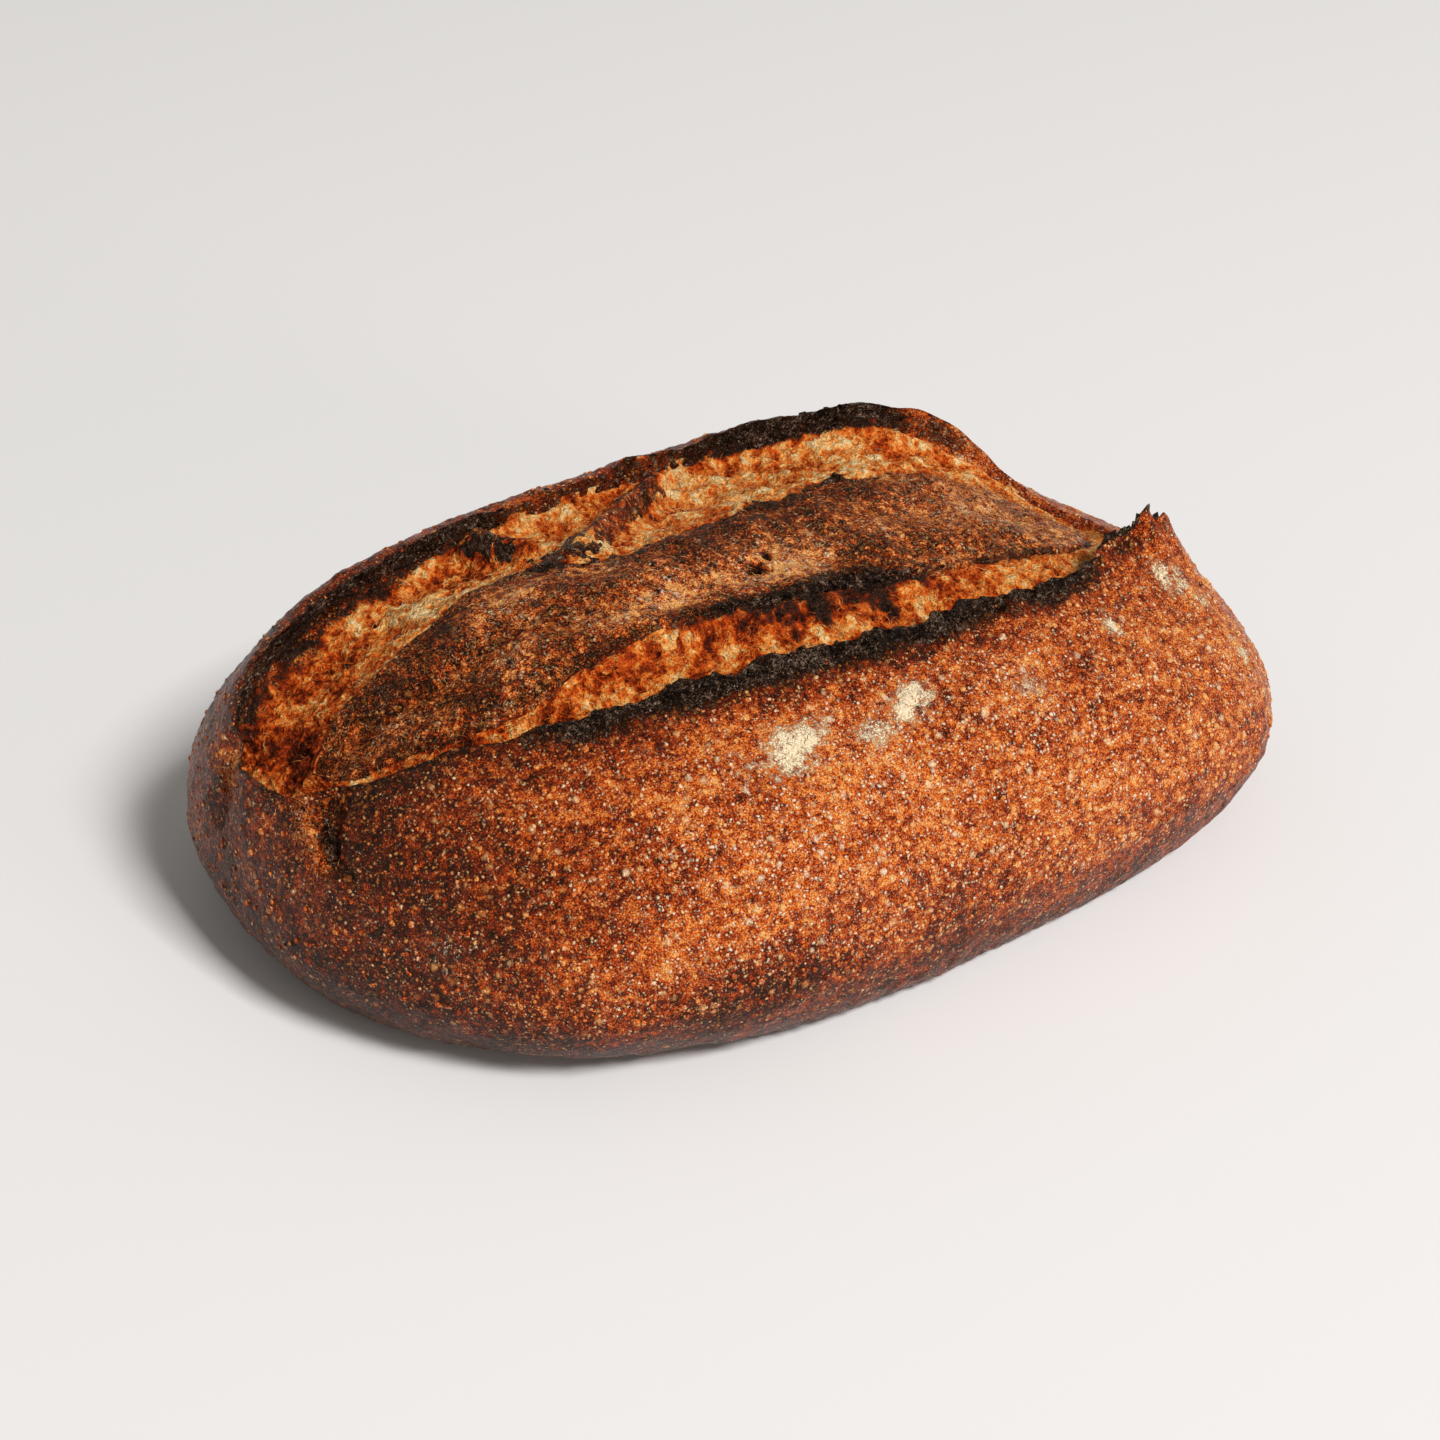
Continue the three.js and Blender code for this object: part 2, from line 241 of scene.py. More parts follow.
def crustOver(points, c):  # where crust still bridges the rear slash, and how high it stands
    near = [nearness(points[..., :2], *bridge[:3]) for bridge in tears["bridges"]]
    high = [n * bridge[3] for n, bridge in zip(near, tears["bridges"])]
    rear = ~(c["front"] if points.ndim == 2 else c["front"][:, None])
    return np.max(near, 0) * rear, np.max(high, 0) * rear


def tearRow(c, share):
    row = c["ear"] + (c["strip"] - c["ear"]) * share
    within = min(max(share, 0), 1)
    covered, _ = crustOver(row, c)
    depth = c["depth"] * math.sin(math.pi * within ** tears["deepest"]) * (1 - covered)
    if share < tears["undercutShare"]:
        row -= c["inward"] * (tears["undercut"] * depth)[:, None]
    _, high = crustOver(row, c)
    row[:, 2] += high * min(1, 4 * within) * min(1, 4 * (1 - within)) - depth
    sag = np.maximum(0, lumps(row, tears["crumbLumpMm"])) * min(1, 5 * within * (1 - within))
    row[:, 2] -= tears["crumbRelief"] * sag
    return row


def topRow(c, share):
    row = c["strip"] + (c["crown"] - c["strip"]) * share
    row[:, 2] = c["strip"][:, 2] + (c["crown"] - c["strip"])[:, 2] * math.sin(share * math.pi / 2)
    at, radius, depth = tears["pit"]
    row[:, 2] -= depth * np.exp(-(np.linalg.norm(row[:, :2] - at, axis=1) / radius) ** 2)
    return row


def weathered(points, ragged):  # unevenness of the crust, ragged rims and the gashes at the left end
    outward = flatUnit(points / (form["rightHalf"] ** 2, form["frontHalf"] ** 2, 1) + (1e-9, 0, 0))
    broad = lumps(points, form["broadMm"]) * form["broadRelief"]
    broad = broad * np.minimum(1, points[..., 2] / form["calmBelow"])
    jag = lumps(points + (50, 0, 0), tears["jagMm"]) * tears["jagRelief"] * ragged
    cut = np.max([depth * nearness(points, *gash) for *gash, depth in tears["gashes"]], 0)
    points = points + outward * (broad - cut)[..., None]
    points[..., 2] += jag
    return points


def gridNormals(grid, wrap):  # outward normals of a grid of points [column, row]
    d = (np.roll(grid, -1, 0) - np.roll(grid, 1, 0)) if wrap else np.gradient(grid, axis=0)
    n = np.cross(d, np.gradient(grid, axis=1))
    return n / np.maximum(np.linalg.norm(n, axis=-1, keepdims=True), 1e-9)


def meshFrom(name, points, faces, fields, smooth=True):  # points in mm, and a number a point in each field
    points = np.asarray(points, float) + (*form["shift"], 0)
    points[:, 2] = np.maximum(points[:, 2], 0)  # nothing reaches below the table
    mesh = bpy.data.meshes.new(name)
    faces = [np.asarray(f, np.int32) for f in faces]
    sizes = np.concatenate([np.full(len(f), f.shape[1]) for f in faces])
    mesh.vertices.add(len(points))
    mesh.vertices.foreach_set("co", (points / 1000).astype(np.float32).ravel())
    mesh.loops.add(int(sizes.sum()))
    mesh.loops.foreach_set("vertex_index", np.concatenate([f.ravel() for f in faces]))
    mesh.polygons.add(len(sizes))
    mesh.polygons.foreach_set("loop_start", np.r_[0, np.cumsum(sizes)[:-1]].astype(np.int32))
    mesh.polygons.foreach_set("use_smooth", np.full(len(sizes), smooth))
    for field, values in fields.items():
        mesh.attributes.new(field, "FLOAT", "POINT").data.foreach_set("value", values.astype(np.float32))
    mesh.update()
    mesh.validate()
    piece = bpy.data.objects.new(name, mesh)
    bpy.context.scene.collection.objects.link(piece)
    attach(piece, "root")
    return piece


# The crust is one closed skin round the whole loaf. Its toast goes from 0, pale crumb, through 0.5,
# orange brown, to 1, charred; in places it also carries painted shade and painted sheen.
crust = {
    "columnsPerSide": 388, "baseRows": 4, "tuckRows": 14, "wallRows": 58, "tearRows": 30, "topRows": 22,
    "wallCrowding": 1.25, "topCrowding": 1.3,  # exponents that crowd the rows towards the rims
    "crumbGap": 3.2,  # how far the crust dips under the separate crumb
    # swell of the wall behind the rear ear
    "shoulder": [(-117, 0), (-106, 2), (-60, 3), (-10, 2), (30, 1), (50, 0)], "shoulderFrom": 0.7,
    # how burnt each torn rim is, from left to right
    "burns": {
        "frontEar": [
            (-117, 0.25), (-85, 0.3), (-66, 0.45), (-59, 0.95), (40, 1), (72, 0.85), (92, 0.6), (116, 0.3)],
        "rearEar": [
            (-117, 0.8), (-70, 1), (-40, 0.75), (-25, 0.5), (-5, 0.45), (20, 0.6), (45, 0.95), (72, 0.95),
            (84, 0.45), (90, 0.6), (97, 0.3), (104, 0)],
        "rearWall": [
            (-117, 0.3), (-60, 0.2), (-20, 0.12), (20, 0.1), (45, 0.4), (72, 0.5), (82, 0.2), (95, 0.05)],
        "frontStrip": [
            (-100, 0.25), (-70, 0.35), (-30, 0.4), (-8, 0.75), (34, 0.85), (56, 0.45), (90, 0.5)],
        "rearStrip": [
            (-100, 0.1), (-54, 0.3), (-44, 0.9), (-28, 0.95), (-18, 0.5), (10, 0.55), (30, 0.8), (60, 0.75),
            (76, 0.3), (95, 0.1)],
    },
    "earBand": 3.7, "stripBand": 3.2,  # width of the burnt bands below an ear and on the strip
    "toast": {"all": 0.34, "clouds": 0.06, "strip": 0.11, "stripClouds": 0.2, "low": 0.3, "rear": 0.06,
              "underEar": 0.3, "char": 0.25, "torn": -0.26, "crack": 0.6, "pinholeShade": 2.5},
    "cloudMm": 26, "stripCloudMm": 10, "lowReach": (-4, 40),
    # darker (+) and lighter (-) areas, as middle x, y, z, radii and amount
    "toastAndShadingSpots": [
        # the first two spots on the next line, over the left end and the left of the front wall, and the wide
        # one low on the left front two lines on, are partly darker bake and partly painted shade
        ((-120, -10, 40), (46, 60, 45), 0.22), ((-85, -45, 45), (30, 30, 30), 0.1),
        ((-100, -15, 52), (9, 14, 9), 0.1), ((-42, -77, 25), (16, 9, 8), 0.14),
        ((-28, -78, 27), (12, 9, 7), 0.12), ((-80, -60, 10), (60, 30, 12), 0.1),
        # the first spot on the next line, on the middle of the front wall, is painted sheen
        ((-20, -68, 50), (30, 18, 18), -0.07), ((110, -40, 35), (26, 40, 26), -0.05),
        ((34, -9, 77), (9, 4, 9), 0.34), ((42, -15, 74), (9, 3, 9), 0.22), ((8, 10, 79), (18, 5, 8), 0.26),
        ((34, 18, 76), (24, 4, 8), 0.24), ((10, -18, 76), (24, 3, 6), 0.22), ((-10, 9, 81), (10, 4, 6), 0.24),
        ((-66, 14, 77), (9, 4, 8), 0.28), ((-30, -1, 82), (7, 7, 6), 0.22),
        ((-38, -16, 80), (22, 2.5, 8), 0.2), ((-82, 7, 70), (10, 5, 9), 0.24),
        ((-1, -8, 80), (18, 5, 8), -0.26), ((-12, -9, 80), (14, 4, 8), -0.1),
        ((-37, -12, 81), (7, 3, 6), -0.2), ((-52, 10, 81), (8, 5, 8), -0.26),
        ((51, 4, 74), (12, 5, 8), -0.2), ((78, 4, 66), (18, 12, 12), -0.14), ((18, 2, 79), (5, 8, 6), 0.2),
        ((43, 2, 75), (11, 4, 9), 0.24), ((-58, -4, 78), (8, 5, 8), -0.12), ((-72, -8, 72), (9, 4, 8), 0.16),
        ((92, 36, 62), (18, 12, 12), -0.2), ((-85, -12, 66), (22, 6, 6), 0.16),
        ((-114, 20, 54), (6, 14, 5), -0.2), ((-109, -8, 54), (3, 7, 6), -0.12),
        ((-85, 62, 62), (50, 18, 16), 0.26), ((0, 66, 68), (60, 12, 12), 0.16),
        ((96, -29, 68), (9, 4, 6), 0.22), ((70, -67, 30), (40, 20, 14), -0.05)],
    # where a broad sheen is painted into the starch flecks as lighter, pinker colour (painted sheen)
    "paintedSheenSpots": [
        ((-22, -75, 38), (48, 20, 24), 1.0), ((-10, -60, 58), (70, 14, 12), 0.7),
        ((60, -62, 48), (45, 20, 22), 0.6)],
    "flourSpots": [
        ((-15, -51, 65), (8, 4, 5), 1.0), ((-19, -54, 62), (5, 4, 4), 0.7), ((3, -55, 62), (5, 4, 4), 0.75),
        ((12, -52, 62), (3, 4, 5), 0.85), ((17, -50, 64), (5, 4, 4), 0.95), ((-31, -52, 64), (4, 4, 4), 0.4),
        ((45, -55, 59), (5, 6, 6), 0.45), ((76, -47, 60), (3, 4, 5), 0.75), ((99, -37, 61), (3, 4, 6), 0.85),
        ((104, -38, 59), (3, 4, 6), 0.6), ((112, -54, 42), (3, 6, 9), 0.6), ((107, -43, 54), (3, 4, 5), 0.5),
        ((99, 32, 61), (4, 4, 3), 0.8), ((105, 24, 55), (4, 4, 3), 0.9),
        ((-83, -61, 19), (10, 8, 4), 0.35), ((-100, -40, 37), (4, 6, 7), 0.3)],
    # torn crust at the left end
    "tornSpots": [
        ((-115, 24, 50), (4, 4, 3.5), 0.8), ((-110, 22, 52), (5, 4, 3.5), 1.0),
        ((-109, 14, 52), (4, 5, 3.5), 1.0), ((-110, 6, 52), (4, 5, 4), 1.0), ((-111, -1, 55), (3, 5, 4), 0.9),
        ((-112, -8, 51), (2.5, 4, 4), 0.8), ((-112, -13, 48), (2, 3, 3), 0.7)],
    # cracks in the left end's wall and pinholes in the strip, as from, to and half widths; the black inside
    # both is painted shade, and the cracks are also sunk into the crust
    "cracks": [
        ((-106, -4, 60), (-109, -8, 54), (2.0, 1.8)), ((-109, -8, 54), (-110, -13, 48), (1.8, 1.8)),
        ((-110, -13, 48), (-109, -19, 46), (1.8, 0.8)), ((-118, 27, 52), (-122, 26, 38), (1.4, 0.6))],
    "pinholes": [((3.3, -7), (5, -6.8), (1.2, 1.0)), ((8.9, -3), (9.2, -2.9), (0.9, 0.9))],
    "crackDepth": 3, "crackStray": 0.8,
    # swells (+) and hollows (-) of the strip, as middle x, y, radii and height
    "mounds": [
        ((-2, -8), (19, 6), -1.6), ((8, 10), (20, 5), 0.9), ((-16, 2), (6, 6), 0.8),
        ((34, -10), (12, 5), 0.8), ((-30, -1), (9, 9), 0.9), ((-52, 10), (9, 6), 1.1),
        ((-42, -3), (8, 4), -0.9), ((-66, 4), (7, 7), 0.8), ((-75, -4), (8, 5), -0.8),
        ((-38, -13), (9, 3), 0.7), ((56, 4), (14, 6), -0.7), ((64, 16), (12, 4), 0.7),
        ((-10, 10), (8, 3), 0.8), ((22, -16), (18, 3), 0.8), ((-86, 2), (7, 6), 0.7)],
    "moundShare": 1.5,
    # relief too fine for the solids
    "blisterMm": 3.4, "blisterRelief": 0.44, "wrinkleMm": 11, "wrinkleRelief": 0.35, "stripRelief": 1.3,
    "tornMm": 2.4, "tornRise": 0.9, "tornRelief": 0.8, "rimMm": 3.6, "rimRelief": 1.5,
}


def burnAlong(c):  # how burnt the ear and the strip's rim are at each column
    x, front, burns = c["ear"][:, 0], c["front"], crust["burns"]
    ear = np.where(front, curveThrough(burns["frontEar"])(x), curveThrough(burns["rearEar"])(x))
    strip = np.where(front, curveThrough(burns["frontStrip"])(x), curveThrough(burns["rearStrip"])(x))
    return ear[:, None], strip[:, None]


def crustRows(c):  # the rows of points from keel to crown, how ragged each is, its zone and share
    rows = []

    def addRow(row, ragged, zone, share):
        rows.append((row, np.zeros(len(row)) + ragged, zone, share))

    for share in np.linspace(0, 1, crust["baseRows"], endpoint=False):
        addRow(c["keel"] + (c["foot"] - c["keel"]) * share, 0, "base", share)
    for share in np.linspace(0, 1, crust["tuckRows"], endpoint=False):
        addRow(tuckRow(c, share), 0, "tuck", share)
    shoulder = curveThrough(crust["shoulder"])(c["ear"][:, 0]) * ~c["front"]
    low = crust["shoulderFrom"]
    for share in 1 - (1 - np.linspace(0, 1, crust["wallRows"], endpoint=False)) ** crust["wallCrowding"]:
        row = wallRow(c, share)
        row[:, 2] += shoulder * math.sin(math.pi * max(0, (share - low) / (1 - low)) ** 1.6)
        addRow(row, share ** 20, "wall", share)
    edge = np.linspace(0, 1, crust["tearRows"], endpoint=False)
    for share in (3 * edge ** 2 - 2 * edge ** 3) * 0.6 + edge * 0.4:
        row = tearRow(c, share)
        covered, _ = crustOver(row, c)
        dip = fade(share, 0.0, 0.045) * fade(1 - share, 0.0, 0.04) * (1 - fade(covered, 0.25, 0.6))
        row[:, 2] += c["lip"] * max(0, 1 - share / 0.1) + c["horn"] * max(0, 1 - share / 0.16) ** 0.7
        row[:, 2] -= crust["crumbGap"] * dip
        addRow(row, max(0, 1 - 8 * share), "tear", share)
    for share in np.linspace(0, 1, crust["topRows"]) ** crust["topCrowding"]:
        addRow(topRow(c, share), 0.8 * max(0, 1 - share * 8), "top", share)
    grid, ragged, zone, share = zip(*rows)
    return np.stack(grid, 1), np.stack(ragged, 1), np.array(zone), np.array(share)


def bakeCrust(skin, c):  # adds how toasted, charred, floury, pale, torn and cracked each point is
    grid, wall, tear, top = (skin[name] for name in ("grid", "wall", "tear", "top"))
    fromEar, fromStrip = skin["fromEar"], skin["fromStrip"]
    front, amount = c["front"][:, None], crust["toast"]
    earBurn, stripBurn = burnAlong(c)
    wallBurn = np.where(front, earBurn, curveThrough(crust["burns"]["rearWall"])(c["ear"][:, 0])[:, None])
    bandWidth = crust["earBand"] * (1 + 0.5 * lumps(grid, 11)) * wallBurn
    char = wall * wallBurn * np.clip(1.35 - 0.75 * fromEar / bandWidth, 0, 1)
    covered, _ = crustOver(grid, c)
    nearEar = np.exp(-(fromEar / 4) ** 2)
    char = np.maximum(char, tear * (nearEar * earBurn + (1 - nearEar) * stripBurn) * (1 - 0.3 * covered))
    bandWidth = crust["stripBand"] * stripBurn * (1 + 0.8 * lumps(grid + 40, 13))
    char = np.maximum(char, top * stripBurn * np.clip(1.1 - 0.6 * fromStrip / bandWidth, 0, 1))

    toast = amount["all"] + amount["clouds"] * rough(grid, crust["cloudMm"], 3)
    toast = toast + spotSum(grid, crust["toastAndShadingSpots"])
    toast = toast + top * (amount["strip"] + amount["stripClouds"] * rough(grid, crust["stripCloudMm"], 3))
    # darker towards the table, partly darker bake on the hearth and partly painted shade where the wall turns
    # under
    toast = toast + amount["low"] * (1 - fade(grid[..., 2], *crust["lowReach"])) * (1 - top)
    shade = np.maximum(wallBurn, 0.5 * front)
    toast = toast + amount["rear"] * ~front
    toast = toast + amount["underEar"] * wall * shade * np.exp(-(fromEar / (5 + 4 * shade)) ** 2)
    toast = toast + amount["char"] * char

    torn = np.clip(spotSum(grid, crust["tornSpots"]), 0, 1) * wall
    strayed = grid + crust["crackStray"] * np.stack([lumps(grid + at, 5) for at in (0, 60, 120)], -1)
    cracked = np.max([nearness(strayed, *crack) for crack in crust["cracks"]], 0) * wall
    pricked = np.max([nearness(grid[..., :2], *hole) for hole in crust["pinholes"]], 0) * top
    # the cracks and the pinholes are painted black through the charred channel and the toast: painted shade,
    # not burnt crust
    char = np.maximum(char * (1 - torn), fade(cracked, 0.25, 0.7))
    skin["toast"] = toast + amount["torn"] * torn + amount["crack"] * cracked + amount["pinholeShade"] * pricked
    skin["char"] = np.maximum(char, pricked)
    skin["torn"], skin["cracked"] = torn, cracked + pricked
    skin["flour"] = np.clip(spotSum(grid, crust["flourSpots"]), 0, 1) * (wall | top)
    # painted sheen: the flecks on the front wall are made lighter and pinker where the lamps' soft reflection
    # shows, and a little darker on the strip
    skin["paintedSheen"] = np.clip(spotSum(grid, crust["paintedSheenSpots"]), 0, 1) * wall - 0.1 * top


def crustRelief(skin):  # how far each point stands out from the smooth skin
    grid, wall, tear, top, char = (skin[name] for name in ("grid", "wall", "tear", "top", "char"))
    whole = (wall | top | skin["tuck"]) * (1 - 0.6 * char)  # crust that isn't burnt away
    lift = crust["blisterRelief"] * bubbles(grid, crust["blisterMm"], 0.55) * whole
    lift = lift + crust["moundShare"] * spotSum(grid[..., :2], crust["mounds"]) * top
    lift = lift - crust["crackDepth"] * skin["cracked"]
    lift = lift + skin["torn"] * (crust["tornRise"] + crust["tornRelief"] * rough(grid, crust["tornMm"], 2))
    wrinkle = np.where(top, crust["stripRelief"] * fade(skin["fromStrip"], 1, 6), crust["wrinkleRelief"])
    lift = lift + wrinkle * rough(grid, crust["wrinkleMm"], 4, 0.55) * whole
    return lift + crust["rimRelief"] * rough(grid, crust["rimMm"], 3, 0.6) * np.clip(char, 0, 1) * (
        wall | tear | top)


def closedSkin(grid):  # quads round a grid whose front and rear columns meet on the keel and on the crown
    columns, height = grid.shape[:2]
    ids = np.arange(columns * height).reshape(columns, height)
    mirrored = (columns - np.arange(columns)) % columns
    merged = ids.copy()
    rear = np.arange(columns) > columns // 2
    for seamRow in (0, height - 1):
        merged[rear, seamRow] = ids[mirrored[rear], seamRow]
    used, merged = np.unique(merged, return_inverse=True)
    a = merged.reshape(columns, height)
    b = np.roll(a, -1, 0)
    return used, np.stack([a[:, :-1], b[:, :-1], b[:, 1:], a[:, 1:]], -1).reshape(-1, 4)


def makeCrust():
    n = crust["columnsPerSide"]
    s, k, seam = evenShares(n)
    order = np.r_[0:n + 1, n - 1:0:-1]
    front = np.r_[np.ones(n + 1, bool), np.zeros(n - 1, bool)]
    c = columnsAt(s[order], k[order], seam[order], front)
    grid, ragged, zone, share = crustRows(c)
    still = (zone == "base") | ((zone == "tuck") & (share == 0))  # what lies on the table
    grid = np.where(still[None, :, None], grid, weathered(grid, ragged))
    skin = {name: (zone == name)[None] for name in ("tuck", "wall", "tear", "top")}
    skin["grid"], skin["normals"] = grid, gridNormals(grid, True)
    skin["fromEar"] = np.linalg.norm(grid - c["ear"][:, None], axis=-1)
    skin["fromStrip"] = np.linalg.norm(grid - c["strip"][:, None], axis=-1)
    bakeCrust(skin, c)
    grid = grid + skin["normals"] * (crustRelief(skin) * ~still[None])[..., None]
    used, quads = closedSkin(grid)
    # the last field marks the strip and the torn crust, where thin light lines are painted, partly as curled
    # crust and partly as painted glints
    fields = {"toast": skin["toast"], "flour": skin["flour"], "charred": skin["char"], "paintedSheen": skin["paintedSheen"],
              "curlsAndGlints": np.maximum(skin["top"] * 1.0, skin["torn"])}
    fields = {name: values.ravel()[used] for name, values in fields.items()}
    onRim = np.exp(-(np.minimum(skin["fromEar"], skin["fromStrip"] * 1.6) / 1.5) ** 2)
    unburnt = 1 - skin["char"]
    skin.update(grid=grid, onRim=onRim, cleanWall=skin["wall"] * unburnt * (1 - skin["flour"]),
                cleanTop=skin["top"] * unburnt)
    return meshFrom("crust", grid.reshape(-1, 3)[used], [quads], fields), skin


# The torn crumb in each slash is a closed slab tucked under the crust's rims.
crumb = {
    "front": {"columns": 980, "rows": 88},
    "rear": {"columns": 770, "rows": 112},
    "overlap": 0.015,  # share of the slash by which the slab goes on under each rim
    "underEar": 2.2, "underStrip": 1.3,  # how far the slab's edges sit below the rims
    "thickness": 2.6, "underStep": 9,  # the underside keeps every ninth row
    "tatterMm": 6.5, "tatter": 1.0, "holeMm": 3.1, "poreMm": 1.5, "sponge": 0.9, "fibreMm": 1.1, "fibre": 0.4,
    "streakMm": 3.0,
    "toast": {"front": 0.28, "rear": 0.29},
    "toastAndShadingSpots": {  # darker (+) and paler (-) areas
        # the darker spots at the far left, in the deep pit where the two slashes meet, are partly char and
        # partly painted shade
        "front": [
            ((8, -22, 76), (34, 4, 8), 0.26), ((-52, -21, 76), (12, 4, 8), 0.12),
            ((-40, -27, 74), (16, 4, 8), -0.08), ((-110, 4, 56), (7, 9, 9), 0.15),
            ((-90, -12, 65), (20, 7, 9), 0.4)],
        "rear": [
            ((42, 36, 74), (28, 9, 9), -0.14), ((52, 32, 74), (10, 5, 8), -0.12),
            ((-8, 30, 76), (14, 8, 9), -0.18), ((-22, 21, 79), (8, 5, 8), -0.28),
            ((-56, 32, 73), (8, 5, 9), -0.42), ((-88, 30, 64), (18, 6, 9), 0.06),
            ((-20, 46, 74), (9, 6, 8), -0.06), ((-108, 29, 56), (6, 6, 5), 0.28),
            ((-104, 17, 57), (5, 6, 5), 0.26), ((-44, 42, 72), (5, 6, 8), 0.25),
            ((-109, 14, 58), (9, 12, 9), 0.26), ((-2, 40, 74), (5, 12, 8), 0.2)],
    },
    # how far the burnt edges reach into the crumb, from left to right
    "charReach": {
        "frontEar": [(-117, 1.2), (-60, 1.8), (116, 1.8)],
        "frontStrip": [
            (-100, 1.0), (-62, 1.5), (-40, 3.5), (-12, 5), (5, 8), (30, 8), (42, 4), (70, 3), (95, 2)],
        "rearEar": [
            (-117, 4), (-95, 7), (-70, 6.5), (-50, 4), (-20, 1.6), (10, 1.3), (35, 2.3), (60, 3.0), (80, 1.5),
            (95, 1)],
        "rearStrip": [
            (-100, 1), (-70, 2), (-55, 4), (-45, 3), (-35, 1), (-15, 1.5), (10, 2.5), (60, 2), (90, 1)],
    },
}


def makeCrumb(side):
    s, k, seam = evenShares(crumb[side]["columns"] - 1)
    c = columnsAt(s, k, seam, np.full(len(s), side == "front"))
    shares = np.linspace(-crumb["overlap"], 1 + crumb["overlap"], crumb[side]["rows"])
    grid = np.stack([tearRow(c, share) for share in shares], 1)
    within = np.clip(shares, 0, 1)[None]
    width = np.linalg.norm(c["strip"] - c["ear"], axis=1)[:, None]
    fromEar, fromStrip = within * width, (1 - within) * width
    grid[..., 2] -= crumb["underEar"] * np.exp(-(fromEar / 1.6) ** 2)
    grid[..., 2] -= crumb["underStrip"] * np.exp(-(fromStrip / 1.4) ** 2)
    grid = weathered(grid, np.zeros(grid.shape[:2]))
    normals = gridNormals(grid, False)
    if normals[..., 2].mean() < 0:
        normals = -normals

    middle = fade(fromEar, 0.5, 3) * fade(fromStrip, 0.5, 3)
    holes = bubbles(grid, crumb["holeMm"], 0.62) + 0.6 * bubbles(grid + 31, crumb["poreMm"], 0.6)
    tatter = rough(grid, crumb["tatterMm"], 3, 0.55)
    streaks = rough(grid * (1, 0.2, 0.2) + 77, crumb["streakMm"], 2)  # run down from the strip
    fibre = rough(grid * (1.0, 0.45, 0.45), crumb["fibreMm"], 2)
    lift = crumb["tatter"] * tatter - crumb["sponge"] * holes + crumb["fibre"] * fibre
    grid = grid + normals * (lift * (0.25 + 0.75 * middle))[..., None]

    covered, _ = crustOver(grid, c)
    earBurn, stripBurn = burnAlong(c)
    reach = {rim: curveThrough(crumb["charReach"][side + rim])(c["ear"][:, :1]) for rim in ("Ear", "Strip")}
    reach["Strip"] = reach["Strip"] * np.clip(1 + 0.9 * streaks, 0.2, 2)
    earChar = earBurn * np.clip(1.15 - 0.9 * fromEar / reach["Ear"], 0, 1)
    stripChar = stripBurn * np.clip(1.1 - 0.9 * fromStrip / reach["Strip"], 0, 1)
    char = np.clip(np.maximum(earChar, stripChar) * (1 + 0.5 * lumps(grid, 5)), 0, 1)
    # painted shade: the crumb is painted darker in its sunk holes and lighter on its raised tatters
    toast = crumb["toast"][side] - 0.14 * tatter + 0.2 * holes + 0.06 * fibre + 0.06 * streaks
    toast = toast + spotSum(grid, crumb["toastAndShadingSpots"][side])
    toast = toast + 0.2 * covered - 0.2 * np.exp(-(fromEar / 1.3) ** 2) * (1 - earBurn)
    toast = toast + 0.4 * (1 - fade(width, 3, 10)) + 0.2 * char

    def withUnderside(rows):
        return np.concatenate([rows, rows[:, ::-crumb["underStep"]]], 1)

    loop = withUnderside(grid)
    loop[:, grid.shape[1]:, 2] -= crumb["thickness"]
    ids = np.arange(loop.shape[0] * loop.shape[1]).reshape(loop.shape[:2])
    a, b = ids[:-1], ids[1:]
    quads = np.stack([a, b, np.roll(b, -1, 1), np.roll(a, -1, 1)], -1).reshape(-1, 4)
    faces = [quads, ids[0][None, ::-1], ids[-1][None]]
    if side == "rear":
        faces = [f[:, ::-1] for f in faces]
    fields = {"toast": withUnderside(toast).ravel(), "charred": withUnderside(char).ravel()}
    torn = {"grid": grid, "normals": gridNormals(grid, False) * (1 if side == "front" else -1),
            "toast": toast, "open": middle * (1 - char)}
    return meshFrom(side + "Crumb", loop.reshape(-1, 3), faces, fields), torn


def numbers(count, seed):  # a list of repeatable numbers from 0 to 1
    return hashed(np.stack([np.arange(count), np.full(count, seed), np.full(count, 0.5)], -1))


def spread(count, seed, limits):
    return limits[0] + (limits[1] - limits[0]) * numbers(count, seed)


def picked(surface, weights, count, seed):  # places on a surface, with three directions at each
    grid, normals = surface["grid"], surface["normals"]
    size = np.linalg.norm(np.roll(grid, -1, 0) - grid, axis=-1)
    size = size * np.linalg.norm(np.gradient(grid, axis=1), axis=-1)
    running = np.cumsum((weights * size).ravel())
    at = np.searchsorted(running, numbers(count, seed) * running[-1])
    normal = normals.reshape(-1, 3)[at]
    along = (np.roll(grid, -1, 0) - grid).reshape(-1, 3)[at]
    along = along / np.maximum(np.linalg.norm(along, axis=1, keepdims=True), 1e-9)
    across = np.cross(normal, along)
    angle = numbers(count, seed + 1)[:, None] * 2 * math.pi
    turned = along * np.cos(angle) + across * np.sin(angle)
    place = grid.reshape(-1, 3)[at] + (turned * 0.4)
    return {"at": at, "place": place, "normal": normal, "along": along, "turned": turned}


def copies(shape, faces, place, axes):  # one small shape at every place, in the axes given there
    points = np.einsum("nvk,nkj->nvj", shape, axes) + place[:, None]
    faces = faces[None] + (np.arange(len(place)) * shape.shape[1])[:, None, None]
    return points.reshape(-1, 3), faces.reshape(-1, faces.shape[-1])


